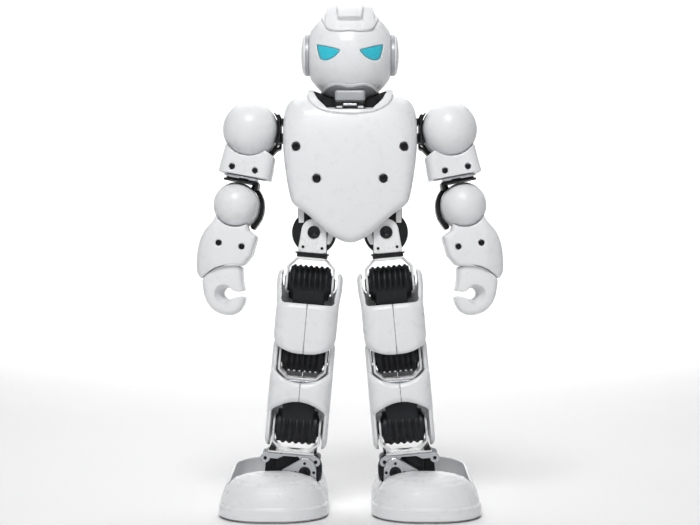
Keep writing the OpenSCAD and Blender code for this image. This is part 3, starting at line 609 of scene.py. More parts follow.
moulded("face", face_field, (-32, -37, 318), (32, 0, 392), "torso", WHITE, "face_shell")
moulded("rear_head", rear_head_field, (-32, 0, 318), (32, 37, 392), "torso", WHITE, "rear_head_shell")
moulded("crest", crest_field, (-24, -40, 366), (24, 28, 399), "torso", WHITE, "head_crest", fine=0.8)
pair("eye", eye_field, (6, -37, 345), (27, -20, 361), "torso", EYES, "eye_lenses", fine=0.6)
moulded("chin_plate", chin_field, (-25, -38, 318), (25, 0, 331), "torso", CHIN, "chin_guard", fine=0.8)
moulded("chin_rim", chin_rim_field, (-25, -38, 318), (25, 0, 332), "torso", WHITE, fine=0.6)
moulded("catch_lip", catch_lip_field, (-13, -27, 312), (13, -15, 318), "torso", HORN, fine=0.7)
moulded("chin_catch", catch_field, (-13, -27, 313), (13, -13, 326), "torso", SILVER, fine=0.7)


def hinge_field(x, y, z):
    barrel = smax(hypot(y + 24.4, z - 314.0) - 1.5, abs(x) - 5.4, 0.3)
    return smin(barrel, block(x, y, z, (-5.4, -24.6, 312.6), (5.4, -18.0, 314.6), 0.3), 0.3)


def tab_field(x, y, z):
    side = abs(x)
    return block(side, y, z, (5.8, -25.6, 311.2), (10.4, -18.0, 313.2), 0.4)


def neck_liner_field(x, y, z):
    """Dark liner inside the collar, rising to the shoulders."""
    return smax(poly(LINER, abs(x), z), abs(y + 8.0) - 4.0, 0.5)


LINER = [(-5, 309), (26.4, 309), (28.2, 319), (28.6, 326.2), (26.6, 325.8), (23.0, 324.4), (18.0, 322.2),
    (12, 320.4), (-5, 320.0)]
moulded("neck_liner", neck_liner_field, (-30, -13, 308), (30, -3, 327), "torso", BLACK)
moulded("chin_hinge", hinge_field, (-6, -27, 311), (6, -17, 316), "torso", STEEL, fine=0.6)
moulded("chin_tabs", tab_field, (-11, -27, 310), (11, -17, 314), "torso", WHITE, fine=0.6)


def torso_part(name, part, mat, nodes=""):
    put(mesh_object(name, *part, HERE, mat), "torso", nodes=nodes)


ring = chamfered([(0, 0), (16.1, 0), (16.1, 3.3), (0, 3.3)], 0.5)
cap_r = 15.8
cap = [(0, 2.6), (cap_r, 2.6), (cap_r, 3.4)] + [
    (cap_r * math.cos(a), 3.4 + 3.2 * math.sin(a)) for a in np.linspace(0.12, 1.5, 12)] + [(0, 6.6)]
neck = chamfered([(0, 308.0), (15.6, 308.0), (15.6, 322.0), (13.0, 325.0), (0, 325.0)], 0.4)
torso_part("neck_tube", lathe(neck, 48), BLACK)
boss = chamfered([(0, -4), (8.7, -4), (8.7, 0.2), (0, 0.2)], 0.3)
for side, flip in (("left", 1), ("right", -1)):
    place = np.diag([flip, 1, 1, 1]) @ at(FLAT_X, 0, HEAD_Z) @ TO_X
    torso_part(f"{side}_ear_ring", moved(lathe(ring, 72), place), SILVER, "ear_discs")
    torso_part(f"{side}_ear_cap", moved(lathe(cap, 72), place), WHITE)
    torso_part(f"{side}_ear_boss", moved(lathe(boss, 48), place), BLACK)


# ---------------------------------------------------------------- arms

ARM_LEAN = 10.4
SHOULDER_BALL, SHOULDER_SOCKET, ARM_TALL = 21.4, 21.1, 1.02     # the upper ball is a little taller than wide
ELBOW_BALL, ELBOW_SOCKET = 17.7, 17.4
ARM = at(*SHOULDER) @ turn(-ARM_LEAN, "Y")     # arm frame: +X outward, -Z along the arm
FORE = at(*ELBOW)                              # elbow frame, as the arm hangs
BACK_Y = 15.2


def dome(x, y, z, r, tall=1.0):
    flat = x * x + (z / tall) ** 2
    d = sqrt(flat + minimum(y + 4.0, 0.0) ** 2) - r
    return smax(d, y - BACK_Y, 2.0)


def socket(x, y, z, body, r, tall=1.0):
    """The block below a dome, hollowed at the front so that the whole ball shows."""
    return smax(body, minimum(r - hypot(x, z / tall), 6.0 - y), 0.7)


def upper_arm_outer(x, y, z):
    flare = clip((-14.0 - z) / 22.8, 0, 1) * clip((x + 2.0) / 14.0, 0, 1)
    plan = rect(x + 3.75 - 1.9 * flare, y + 2.4, 19.45, 17.6, 7.8)
    plan = plan + 0.035 * maximum(-20.0 - z, 0.0) * (1 - clip(x / 12.0, 0, 1)) - 0.3
    top = z + 14.6 + 0.5 * maximum(-15.0 - x, 0.0)
    body = smax(smax(plan, top, 1.6), -36.8 - z, 0.8)
    return minimum(dome(x, y, z, SHOULDER_BALL, ARM_TALL), socket(x, y, z, body, SHOULDER_SOCKET, ARM_TALL))


def screw_seats(shell, x, y, z, spots, back, wide, seat):
    """Holes through the front of a cover, each with a wider seat, down to y = -back and -seat."""
    for sx, sz in spots:
        r = hypot(x - sx, z - sz)
        shell = cut(shell, maximum(r - 1.2, y + back), 0.3)
        shell = cut(shell, maximum(r - wide, y + seat), 0.5)
    return shell


UPPER_SCREWS = [(7.5, -31.7), (-10.4, -31.7)]
FORE_SCREWS = [(12.7, -28.4), (-5.0, -31.4)]


def upper_arm_shell(x, y, z):
    outer = upper_arm_outer(x, y, z)
    shell = hollow(outer, 0.6)
    # open floor, rolled at its edge
    mouth = smax(rect(x + 3.75, y + 2.4, 14.5, 12.6, 4.0), z + 30.0, 0.6)
    return cut(shell, mouth, 0.8)


def upper_front(x, y, z):
    shell = smax(upper_arm_shell(x, y, z), y + SEAM, 0.4)
    return screw_seats(shell, x, y, z, UPPER_SCREWS, 10, 2.35, 18.6)


def upper_rear(x, y, z):
    shell = smax(upper_arm_shell(x, y, z), SEAM - y, 0.4)
    shell = cut(shell, smax(hypot(x, z) - 13.4, 6 - y, 0.4), 0.8)
    keep = hypot(x, z / ARM_TALL) - 21.5
    flank = smax(maximum(x + 12.5, -z - 27.0), -keep, 0.5)
    return cut(shell, flank, 0.8)


FOREARM = soften([(10, 6), (16.8, -10.4), (20.6, -14.3), (26.0, -20.7), (29.6, -30.4), (31.2, -43.3),
    (30.8, -51.7), (28.2, -55.4), (26.6, -56.2), (4.0, -48.0), (-5.8, -47.0), (-12.4, -38.9), (-12.9, -37.8),
    (-17.0, -23.7), (-16.6, -23.0), (-8.6, -17.6), (-8, 6)], 1)
SEAM_AT = (4.4, -72.6)


def forearm_outer(x, y, z):
    sides = poly(FOREARM, x, z)
    front = -17.0 + 0.10 * maximum(x - 15.5, 0.0) ** 1.6 + 0.004 * (z + 34.0) ** 2
    body = smax(sides, front - y, 5.0)
    body = smax(body, y - BACK_Y, 5.0)
    arc = 27.2 - hypot(x - SEAM_AT[0], z - SEAM_AT[1])
    body = smax(body, arc, 1.0)
    up = 1.2 * clip(-y / 6.0, 0, 1)
    return minimum(dome(x, y, z - up, ELBOW_BALL), socket(x, y, z - up, body, ELBOW_SOCKET))


def forearm_shell(x, y, z):
    outer = forearm_outer(x, y, z)
    return hollow(outer, 0.6)


def fore_front(x, y, z):
    shell = smax(forearm_shell(x, y, z), y + SEAM, 0.4)
    return screw_seats(shell, x, y, z, FORE_SCREWS, 8, 2.4, 15.4)


def elbow_plate_field(x, y, z):
    """Steel plate under the upper arm block, in the arm frame, with two folded front lips."""
    plate = block(x, y, z, (-12.6, -16.6, -38.9), (12.6, 16.0, -37.5), 0.3)
    lip = block(x, y, z, (-12.6, -17.6, -39.6), (9.6, -16.4, -37.5), 0.35)
    return cut(minimum(plate, lip), rect(x + 3.0, z + 39.6, 3.4, 0.7, 0.3), 0.3)


def elbow_beam_field(x, y, z):
    """Black beam under the steel plate, lipped at its outer end."""
    beam = block(x, y, z, (-12.4, -15.8, -41.8), (10.8, 15.0, -39.4), 0.5)
    lip = block(x, y, z, (8.6, -16.4, -42.6), (12.4, -12.0, -40.8), 0.5)
    post = block(x, y, z, (-14.6, -14.0, -46.0), (-12.0, 10.0, -40.0), 0.5)
    slot = maximum(rect(x + 1.0, z + 40.5, 6.4, 0.4, 0.3), y + 14.0)
    return cut(minimum(minimum(beam, lip), post), slot, 0.3)


GUARD = [(-15.2, 18.6), (-12.6, 18.8), (-11.6, 15.6)] + [
    (18.2 * math.cos(math.radians(a)), 18.2 * math.sin(math.radians(a))) for a in range(126, 232, 7)] + [
    (-10.4, -15.3), (-11.4, -17.4), (-13.4, -18.2), (-16.4, -14.4), (-19.2, -10.0), (-20.8, -5.0),
    (-21.4, 0.0), (-20.9, 5.0), (-19.4, 9.6), (-17.2, 13.2), (-15.0, 15.6)]


def elbow_guard_field(x, y, z):
    """Curved guard on the inner side of the elbow ball, carried round to the rear horn."""
    hoop = smax(poly(GUARD, x, z), abs(y - 9.8) - 8.2, 0.7)
    rear = smax(smax(hypot(x, z) - 12.2, abs(y - 16.9) - 1.1, 0.4), 3.4 - hypot(x, z), 0.3)
    return smin(hoop, rear, 0.6)


def fore_rear(x, y, z):
    shell = smax(forearm_shell(x, y, z), SEAM - y, 0.4)
    shell = cut(shell, smax(hypot(x, z) - 13.4, 6 - y, 0.4), 0.8)
    keep = hypot(x, z) - 17.9
    flank = smax(maximum(0.55 * x + 0.3 * (z + 30) - 2.0, -z - 24.0), -keep, 0.5)
    return cut(shell, minimum(flank, smax(maximum(x + 7.0, -z - 24.0), -keep, 0.5)), 0.8)


HAND = soften([(27, -45), (26.4, -60), (24.2, -72.4), (18.2, -80.7), (10.2, -84.4), (3.1, -85), (-2.8, -82.6),
    (-6.7, -76), (-7.6, -71.6), (-7.3, -66), (-5.6, -60), (-5.0, -52), (-5.4, -40), (10, -38)], 1)
LIPS = soften([(8.4, -62.6), (2.9, -65.5), (-2.2, -66.6), (-10, -65.4), (-10, -70.3), (-3.4, -70.1),
    (2.3, -71.1), (7.4, -73.2)], 1)


def hand_field(x, y, z):
    body = poly(HAND, x, z)
    front = -13.2 + 0.0016 * (z + 62) ** 2 + 0.05 * maximum(x - 12, 0) ** 1.4
    body = smax(body, front - y, 5.5)
    body = smax(body, y - 13.0, 5.5)
    arc = hypot(x - SEAM_AT[0], z - SEAM_AT[1]) - 26.7
    body = smax(body, arc, 0.6)
    t = clip((y + 13.0) / 12.0, 0, 1)
    hole = hypot(x - 9.3 + 3.4 * t, z + 68.4 - 0.4 * t) - 7.4 + 3.2 * t
    body = cut(body, hole, 0.6)
    return cut(body, poly(LIPS, x, z), 1.2)


BRACKET_SIDE = [(-23.8, 10.0), (-22.8, 11.4), (-21.0, 10.8), (-19.0, 12.8), (-18.2, 11.8), (-20.2, 8.8),
    (-20.7, 6.0), (-20.7, -6.5), (-19.4, -10.8), (-12.4, -17.0), (-16.2, -20.4), (-20.6, -15.8),
    (-23.2, -14.9), (-23.8, -13.0)]


def shoulder_bracket_field(x, y, z):
    """Side plate with its strap round the ball, two pads on a horn and the rear arm."""
    plate = smax(poly(BRACKET_SIDE, x, z), abs(y - 3.2) - 14.9, 0.6)
    along, across = (z + 12.2 - x - 21.3) * ROOT_HALF, (x + 21.3 + z + 12.2) * ROOT_HALF
    plate = cut(plate, rect(along, across, 1.5, 0.75, 0.7), 0.3)
    plate = smax(plate, smax(22.2 - hypot(x, z), y - 15.3, 0.4), 0.5)
    plate = cut(plate, maximum(y - 1.2, z + 11.0), 0.4)
    pads = minimum(block(x, y, z, (-28.0, -7, 3.3), (-23.2, 7, 8.5), 0.4),
                   block(x, y, z, (-28.0, -7, -12.0), (-23.2, 7, -3.3), 0.4))
    disc = smax(hypot(y, z) - 10.6, abs(x + 27.8) - 0.9, 0.3)
    pads = minimum(smax(pads, hypot(y, z) - 11.0, 0.3), disc)
    rear = smin(rect(x + 12.0, z, 11.8, 9.5, 3.0), hypot(x, z) - 12.4, 2.0)
    rear = cut(smax(rear, abs(y - 17.0) - 1.1, 0.4), hypot(x, z) - 3.4, 0.3)
    return smin(minimum(plate, pads), rear, 0.5)


pair("shoulder_plate", shoulder_bracket_field, (-30, -12, -22), (14, 19, 14), "SIDE_shoulder", BLACK,
     "SIDE_shoulder_bracket", at(*SHOULDER), 0.7)
for name, field, low, high, body, place in (
        ("upper_arm_front", upper_front, (-25, -26, -39), (23, 0, 24), "SIDE_upper_arm", ARM),
        ("upper_arm_rear", upper_rear, (-25, 0, -39), (23, 16, 24), "SIDE_upper_arm", ARM),
        ("forearm_front", fore_front, (-19, -22, -58), (33, 0, 19), "SIDE_forearm", FORE),
        ("forearm_rear", fore_rear, (-19, 0, -58), (33, 16, 19), "SIDE_forearm", FORE)):
    pair(name, field, low, high, body, WHITE, f"SIDE_{name}_cover", place)
pair("elbow_plate", elbow_plate_field, (-14, -19, -41), (14, 17, -37), "SIDE_upper_arm", STEEL, "", ARM, 0.7)
pair("elbow_beam", elbow_beam_field, (-16, -18, -47), (14, 16, -38), "SIDE_upper_arm", BLACK, "", ARM, 0.7)
pair("elbow_guard", elbow_guard_field, (-23, 0, -21), (19, 19, 21), "SIDE_upper_arm", BLACK,
     "SIDE_elbow_bracket", FORE, 0.8)
pair("hand_hook", hand_field, (-9, -14, -86), (28, 14, -44), "SIDE_forearm", WHITE, "SIDE_hand", FORE)
SMALL_RADIUS = 2.05
small_screw = screw(SMALL_RADIUS, 1.0)


def pair_screws(name, spots, body, place, radius=SMALL_RADIUS):
    """Screw heads facing the front at (x, y, z) spots of a limb frame."""
    size = np.diag([radius / SMALL_RADIUS, radius / SMALL_RADIUS, 1, 1])
    for number, spot in enumerate(spots):
        there = place @ at(*spot) @ TO_FRONT @ size
        on_both_sides(f"{name}_{number + 1}", small_screw, body, SCREW, place=there)


pair_screws("upper_arm_screw", [(x, -19.2, z) for x, z in UPPER_SCREWS], "SIDE_upper_arm", ARM)
pair_screws("forearm_screw", [(x, -16.0, z) for x, z in FORE_SCREWS], "SIDE_forearm", FORE)


# ---------------------------------------------------------------- servos

def servo_parts(r, width, reach, ribs, pitch, shaft):
    """Ribbed drum along X with its square case below: drum profile turned, case from a field."""
    half = width / 2
    rings = [(0, -half - shaft), (2.9, -half - shaft), (2.9, -half), (r - 1.7, -half), (r - 1.2, -half + 0.5)]
    steps = 10 * (2 * ribs + 1)
    for i in range(steps + 1):
        t = i / steps * (2 * ribs + 1)
        rings.append((r - 1.4 * (0.5 + 0.5 * math.cos(2 * math.pi * t)) ** 1.5, (t - ribs - 0.5) * pitch))
    rings += [(r - 1.2, half - 0.5), (r - 1.7, half), (2.9, half), (2.9, half + shaft), (0, half + shaft)]
    drum = moved(lathe(rings, 56), TO_X)
    cheek = turned([(0, -0.5), (9.4, -0.5), (9.4, 0.7), (5.6, 0.7), (5.6, 0.3), (0, 0.3)], 0.2)
    cheeks = [moved(cheek, at(half, 0, 0)), moved(cheek, at(-half, 0, 0) @ turn(180, "Z"))]

    def case(x, y, z):
        box = block(x, y, z, (-half + 3.2, -r + 1.6, -reach), (half - 3.2, r - 1.8, 2.0), 0.8)
        line = maximum(abs(z + reach - 5.5) - 0.35, -(box + 0.5))
        box = cut(box, line, 0.3)
        for s in (-1, 1):
            notch = block(x - s * (half - 3.0), y, z, (-0.9, -9, -reach + 3.4), (0.9, 9, -reach + 7.0), 0.3)
            box = cut(box, notch, 0.3)
            for t in (-1, 1):
                hole = hypot(x - s * (half - 4.2), y - t * (r - 4.4)) - 1.1
                box = cut(box, maximum(hole, z + reach - 2.0), 0.3)
        return box

    solid = skin(case, (-half, -r, -reach - 0.5), (half, r, 2.5), 1.1)
    return join_parts([drum] + cheeks), solid


def put_servo(name, parts, body, nodes, place):
    """Servo drum and case at a left-side place, mirrored to the right."""
    on_both_sides(f"{name}_drum", parts[0], body, CASE, nodes, place)
    on_both_sides(f"{name}_case", parts[1], body, CASE, place=place)


LEG_LEAN = 5.1
LEG = at(*HIP) @ turn(-LEG_LEAN, "Y")          # leg frame: -Z along the leg
PITCH_Z, KNEE_Z, ANKLE_Z = -39.5, -95.5, -151.5
PITCH, KNEE, ANKLE = (LEG @ at(0, 0, height) for height in (PITCH_Z, KNEE_Z, ANKLE_Z))
ROLL = joint_mm("left_ankle_roll")
big_servo = servo_parts(14.0, 31.0, 27.0, 3, 4.2, 2.4)
arm_servo = servo_parts(13.0, 25.0, 27.0, 2, 4.2, 4.3)
roll_servo = servo_parts(13.0, 29.0, 31.0, 2, 5.0, 2.3)
UP = np.diag([1, 1, -1, 1])
ALONG_Y = turn(90, "Z")
for servo, parts, body, nodes, place in (
        ("hip", big_servo, "SIDE_thigh", "SIDE_thigh_servos", PITCH),
        ("knee", big_servo, "SIDE_thigh", "", KNEE @ UP),
        ("ankle", servo_parts(14.0, 31.0, 27.0, 2, 5.1, 2.4), "SIDE_shank", "SIDE_ankle_pitch_servo",
         ANKLE @ UP),
        ("shoulder", arm_servo, "SIDE_upper_arm", "SIDE_shoulder_roll_servo", ARM @ at(0, 1.4, 0) @ ALONG_Y),
        ("elbow", arm_servo, "SIDE_forearm", "SIDE_elbow_servo",
         FORE @ turn(-13.5, "Y") @ at(0, 1.4, 0) @ ALONG_Y),
        ("roll", roll_servo, "SIDE_ankle", "SIDE_ankle_roll_servo",
         at(*ROLL) @ turn(-LEG_LEAN - 90, "Y") @ ALONG_Y),
        ("hip_roll", big_servo, "torso", "hip_roll_servos", at(*HIP) @ ALONG_Y @ UP),
        ("arm_drive", big_servo, "torso", "shoulder_servos", at(32.2, 0, SHOULDER[2]))):
    put_servo(f"{servo}_servo", parts, body, nodes, place)


# ---------------------------------------------------------------- legs

YOKE_IN, YOKE_OUT, SHEET, DROP = 17.0, 18.8, 1.8, 18.0


def yoke_field(x, y, z, tip=10.0, half_y=9.4):
    """Bent sheet: two arms with round ends on the axis, bevelled into a floor below it."""
    low = -DROP - SHEET
    side = abs(x)

    def slant(reach, floor, c):
        corner = (side - reach + floor - z + c) * ROOT_HALF
        return smax(smax(side - reach, floor - z, 0.4), corner, 0.4)

    outer = slant(YOKE_OUT, low, 7.2)
    inner = slant(YOKE_IN, low + SHEET, 6.15)
    sheet = smax(outer, -inner, 0.25)
    reach_y = minimum(hypot(y, z) - tip, maximum(abs(y) - half_y, z))
    body = smax(sheet, reach_y, 0.5)
    body = cut(body, hypot(y, z) - 3.05, 0.3)
    body = cut(body, maximum(rect(y, z + 13.4, 4.6, 1.5, 1.4), 12 - side), 0.4)
    for t in (-1, 1):
        body = cut(body, maximum(hypot(side - 5.0, y - t * 5.0) - 1.3, z + DROP - 1), 0.3)
    return cut(body, maximum(hypot(x, y) - 4.2, z + DROP - 1), 0.4)


HORN_DISC = turned([(0, 0), (3.0, 0), (3.0, 0.01), (7.5, 0), (7.5, 1.3), (0, 1.3)], 0.2)
CAP = turned([(0, -0.2), (4.6, -0.2), (4.6, 0.9), (1.9, 0.9), (1.5, 0.4), (0, 0.4)], 0.25)
PIN = turned([(0, -0.2), (1.15, -0.2), (1.15, 0.6), (0, 0.6)], 0.25, 20)


def horn_set(reach_in, reach_out, pins, wide=1.0, about=0):
    """Horn disc inside an arm, cap and pins outside it, on both arms of a yoke along X turned about Z."""
    parts = []
    for s in (0, 180):
        side = turn(s + about, "Z")
        parts.append(moved(HORN_DISC, side @ at(reach_in - 1.3, 0, 0)))
        parts.append(moved(CAP, side @ at(reach_out, 0, 0) @ np.diag([1.0, wide, wide, 1])))
        parts += [moved(PIN, side @ at(reach_out + out, y, z)) for out, y, z in pins]
    return join_parts(parts)


yoke_low, yoke_high = (-20, -11, -21), (20, 11, 11)
pair("knee_bracket", yoke_field, yoke_low, yoke_high, "SIDE_shank", BRIGHT, "SIDE_knee_yoke",
     KNEE, 0.8)
pair("ankle_yoke", lambda x, y, z: yoke_field(x, y, z, 9.6, 8.4), yoke_low, yoke_high, "SIDE_ankle", BRIGHT,
     "SIDE_ankle_bracket", ANKLE, 0.8)
pair("hip_lower_yoke", yoke_field, yoke_low, yoke_high, "SIDE_hip", BRIGHT, "SIDE_hip_yoke",
     PITCH @ UP, 0.8)
YOKE_PINS = [(0, 5.4 * math.cos(math.radians(a)), 5.4 * math.sin(math.radians(a)))
             for a in range(45, 360, 90)]
yoke_horns = horn_set(YOKE_IN, YOKE_OUT, YOKE_PINS)
for name, body, place in (("hip_pitch", "SIDE_hip", PITCH), ("knee", "SIDE_shank", KNEE),
                          ("ankle_pitch", "SIDE_ankle", ANKLE)):
    on_both_sides(f"{name}_horns", yoke_horns, body, HORN, place=place)

EAR_IN, EAR_T = 17.6, 1.8
HIP_EAR = [(-11.2, -15.6), (11.2, -15.6), (9.7, 1.0)] + [
    (9.7 * math.cos(a), 1.0 + 9.7 * math.sin(a)) for a in np.linspace(0.15, math.pi - 0.15, 14)] + [
    (-9.7, 1.0)]


def hip_ear_field(x, y, z):
    """Bracket over the hip servo: front and rear ears on a floor sheet."""
    low = PITCH_Z + DROP
    side = abs(y)
    ears = smax(poly(HIP_EAR, x, z), abs(side - EAR_IN - EAR_T / 2) - EAR_T / 2, 0.5)
    tongue = block(x, side, z, (-9.0, EAR_IN, low), (9.0, EAR_IN + EAR_T, -14.0), 0.4)
    floor = block(x, side, z, (-11.0, -1, low), (11.0, EAR_IN + EAR_T, low + SHEET), 0.4)
    body = smin(minimum(ears, tongue), floor, 0.5)
    body = cut(body, hypot(x, z) - 3.05, 0.3)
    return body


pair("hip_ears", hip_ear_field, (-12, -20, -22.5), (12, 20, 11.5), "SIDE_hip", BRIGHT, "", LEG, 0.8)
ear_horns = horn_set(EAR_IN, EAR_IN + EAR_T, [(-0.1, -7.3, -11.8), (-0.1, 7.3, -11.8)], 1.06, -90)
on_both_sides("hip_roll_caps", ear_horns, "SIDE_hip", HORN, place=LEG)


def hip_flange_field(x, y, z):
    """Black moulded block under each ear, with a thin wider plate on top."""
    low = PITCH_Z + DROP
    side = abs(y)
    plate = block(x, side, z, (-12.9, 13.5, -16.8), (12.9, 20.2, -15.7), 0.3)
    body = block(x, side, z, (-11.6, 13.5, low + 1.9), (11.6, 19.9, -16.5), 0.5)
    line = block(x, side, z, (-20, 19.4, low + 3.0), (20, 22, low + 3.4), 0.1)
    return cut(smin(plate, body, 0.3), line, 0.3)


def knee_plate_field(x, y, z):
    """Steel plate screwed under the knee bracket's floor, with a raised rib along its front."""
    low = KNEE_Z - DROP - SHEET
    plate = block(x, y, z, (-11.8, -10.6, low - 2.4), (11.8, 9.0, low - 0.9), 0.3)
    rib = block(x, y, z, (-11.0, -11.2, low - 5.4), (11.0, -9.6, low - 3.2), 0.3)
    link = block(x, y, z, (-9.5, -10.2, low - 5.0), (9.5, -8.8, low), 0.3)
    return minimum(minimum(plate, rib), link)


pair("knee_plate", knee_plate_field, (-13, -12, KNEE_Z - DROP - 8), (13, 10, KNEE_Z - DROP), "SIDE_shank",
     STEEL, "", LEG, 0.8)
pair("hip_flange", hip_flange_field, (-14, -21, -21), (14, 21, -15), "SIDE_hip", BLACK, "", LEG, 0.8)
disc = moved(lathe(chamfered([(0, -1.2), (17.0, -1.2), (17.0, 1.2), (0, 1.2)], 0.4), 64), TO_FRONT)
for end, y in (("front", -14.6), ("rear", 14.6)):
    on_both_sides(f"hip_disc_{end}", disc, "torso", BLACK, "", at(HIP[0], y, HIP[2]))


def hip_plate_field(x, y, z):
    """White crescent plate over the inner side of each hip disc."""
    r = hypot(x, z)
    return smax(smax(abs(r - 12.9) - 2.4, abs(abs(y) - 16.35) - 0.45, 0.3), maximum(x + 7.5, -9.5 - z), 0.4)


pair("hip_plate", hip_plate_field, (-17, -18, -13), (-7, 18, 16), "torso", BRIGHT, "", at(*HIP), 0.7)
THIGH_SIDE = soften([(-9.0, PITCH_Z + 2), (-12.0, PITCH_Z - 9.0), (-20.0, PITCH_Z - 14.0),
    (-26.0, PITCH_Z - 15.4), (-26.0, KNEE_Z + 1.4), (-12.6, KNEE_Z + 1.0), (-8.6, KNEE_Z + 9.4),
    (0, KNEE_Z + 13.0), (9.2, KNEE_Z + 12.6), (23.5, KNEE_Z + 26), (23.5, PITCH_Z - 17),
    (9.0, PITCH_Z + 2)], 1)
SHANK_SIDE = soften([(-11.7, KNEE_Z), (-15.5, KNEE_Z - 12.0), (-26, KNEE_Z - 20.4), (-26, ANKLE_Z + 16.0),
    (-19.0, ANKLE_Z + 9.0), (-16.2, ANKLE_Z), (16.2, ANKLE_Z), (23.5, ANKLE_Z + 15), (23.5, KNEE_Z - 25),
    (11.7, KNEE_Z)], 1)


def leg_shell(x, y, z, profile, seam_side, rear_line):
    outer = rect(x, y, 24.3, 21.9, 13.0)
    edge = clip((profile + 5.5) / 5.5, 0, 1)
    outer = outer + 2.3 * edge * edge - 1.3 * clip((z - PITCH_Z + 16) / 12, 0, 1)
    shell = hollow(outer, 0.5)
    shell = smax(shell, profile, 0.8)
    shell = smax(shell, SEAM - seam_side * x, 0.35)
    for dx, dz in rear_line:
        r = hypot(x - dx, z - dz)
        shell = cut(shell, maximum(smax(r - 2.2, -(outer + 1.2), 0.2), -y), 0.4)
        shell = cut(shell, maximum(r - 1.0, -y), 0.3)
    return shell


def thigh_profile(x, y, z):
    ear = hypot(y, z - PITCH_Z) - 9.4
    side = smin(poly(THIGH_SIDE, y, z), ear, 2.0)
    side = cut(side, hypot(y, z - KNEE_Z) - 13.0, 1.0)
    below = maximum(43.5 - hypot(x, z - KNEE_Z - 44.5), maximum(y + 6.0, z - KNEE_Z - 40))
    mouth = smax(smax(abs(x) - 20.4, PITCH_Z - 15.9 - z, 3.0), y + 5.0, 0.5)
    return cut(cut(side, below, 1.0), mouth, 0.8)


KNEE_COS, KNEE_SIN = math.cos(math.radians(85)), math.sin(math.radians(85))


def shank_profile(x, y, z):
    top = hypot(y, z - KNEE_Z) - 11.9
    foot = hypot(y, z - ANKLE_Z) - 16.4
    side = smin(smin(poly(SHANK_SIDE, y, z), top, 1.5), foot, 2.5)
    # room for the thigh covers where the knee is fully bent
    h = z - KNEE_Z
    y_bent, z_bent = y * KNEE_COS - h * KNEE_SIN, y * KNEE_SIN + h * KNEE_COS + KNEE_Z
    side = cut(side, maximum(poly(THIGH_SIDE, y_bent, z_bent), 13.0 - hypot(y, h)) - 0.5, 0.6)
    smile = maximum(hypot(x, h - 8.6) - 29.6, y + 7.0)
    arch = smax(smax(abs(x) - 20.5, z - ANKLE_Z - 20.5 + 7.8 * (x / 20.5) ** 2, 2.0), y + 5.0, 0.5)
    return cut(cut(side, smile, 1.0), arch, 0.8)


def thigh_half(side):
    holes = [(-13, KNEE_Z + 34), (13, KNEE_Z + 34)]
    return lambda x, y, z: leg_shell(x, y, z, thigh_profile(x, y, z), side, holes)


def shank_half(side):
    holes = [(-13, KNEE_Z - 30), (13, KNEE_Z - 30)]
    return lambda x, y, z: leg_shell(x, y, z, shank_profile(x, y, z), side, holes)


for part, half, low, high in (("thigh", thigh_half, -98, -29), ("shank", shank_half, -169, -83)):
    for edge, sign, left, right in (("outer", 1, 0, 27), ("inner", -1, -27, 0)):
        pair(f"{part}_{edge}", half(sign), (left, -23, low), (right, 23, high), f"SIDE_{part}", WHITE,
             f"SIDE_{part}_{edge}_cover", LEG)


# ---------------------------------------------------------------- ankles and feet

LUG_Z = ANKLE_Z - DROP - SHEET
STRIP = [(-17, LUG_Z - 5.0), (-17, LUG_Z - 0.6), (22, LUG_Z - 0.6), (22, LUG_Z - 5.0), (12.5, LUG_Z - 5.2),
    (8.0, LUG_Z - 2.6), (-3.4, LUG_Z - 2.4), (-6.0, LUG_Z - 5.6)]


def ankle_plate_field(x, y, z):
    """Hanging plates in front of and behind the roll servo, with a lug at each end."""
    face = abs(abs(y) - 15.3) - 0.7
    lugs = minimum(hypot(x + 17, z - LUG_Z + 5.1), hypot(x - 22, z - LUG_Z + 5.1)) - 3.7
    return smax(minimum(lugs, poly(STRIP, x, z)), face, 0.4)


def ankle_top_field(x, y, z):
    top = block(x, y, z, (-15.5, -16.6, LUG_Z - 0.5), (20.5, 16.6, LUG_Z + 0.7), 0.35)
    return cut(top, block(x, y, z, (-8, -8, LUG_Z - 3), (8, 8, LUG_Z + 4), 2.0), 0.5)


def ankle_bevel_shade_field(x, y, z):
    """Black blocks between the yoke's bevels and the plate: painted shade that darkens the bevels and the
    pockets under them.
    """
    outer_block = block(x, y, z, (12.4, -13, LUG_Z + 0.6), (20.5, 13, LUG_Z + 7.4), 0.8)
    outer_block = smax(outer_block, (x - 20.5 + (z - LUG_Z) * 0.35), 0.5)
    inner_block = block(x, y, z, (-17.0, -13, LUG_Z + 0.6), (-12.6, 13, LUG_Z + 4.6), 0.8)
    body = minimum(outer_block, inner_block)
    low = ANKLE_Z - DROP - SHEET
    return cut(body, smax(abs(x) - YOKE_OUT - 0.4, (abs(x) - YOKE_OUT + low - z + 5.6) * ROOT_HALF, 0.5), 0.3)


for name, field, low, high, mat in (
        ("plate", ankle_plate_field, (-22, -17, LUG_Z - 9), (27, 17, LUG_Z), STEEL),
        ("top", ankle_top_field, (-17, -18, LUG_Z - 2), (22, 18, LUG_Z + 2), BRIGHT),
        # the black blocks under the yoke's bevels are painted shade
        ("spacer", ankle_bevel_shade_field, (-18, -14, LUG_Z), (21, 14, LUG_Z + 8), BLACK)):
    pair(f"ankle_{name}", field, low, high, "SIDE_ankle", mat, "", LEG, 0.8)
pair_screws("ankle_lug_screw", [(-17, -15.8, LUG_Z - 5.1), (22, -15.8, LUG_Z - 5.1)], "SIDE_ankle", LEG, 1.4)

FOOT_INNER, FOOT_HALF = 16.7, 41.7
FOOT_X = FOOT_INNER + FOOT_HALF
FOOT = at(FOOT_X, 0, 0)
TOE_BACK = -20.5


def foot_plan(x, y, inset=0.0):
    return rect(x, y, 41.6, 61.9, 36.0) + inset


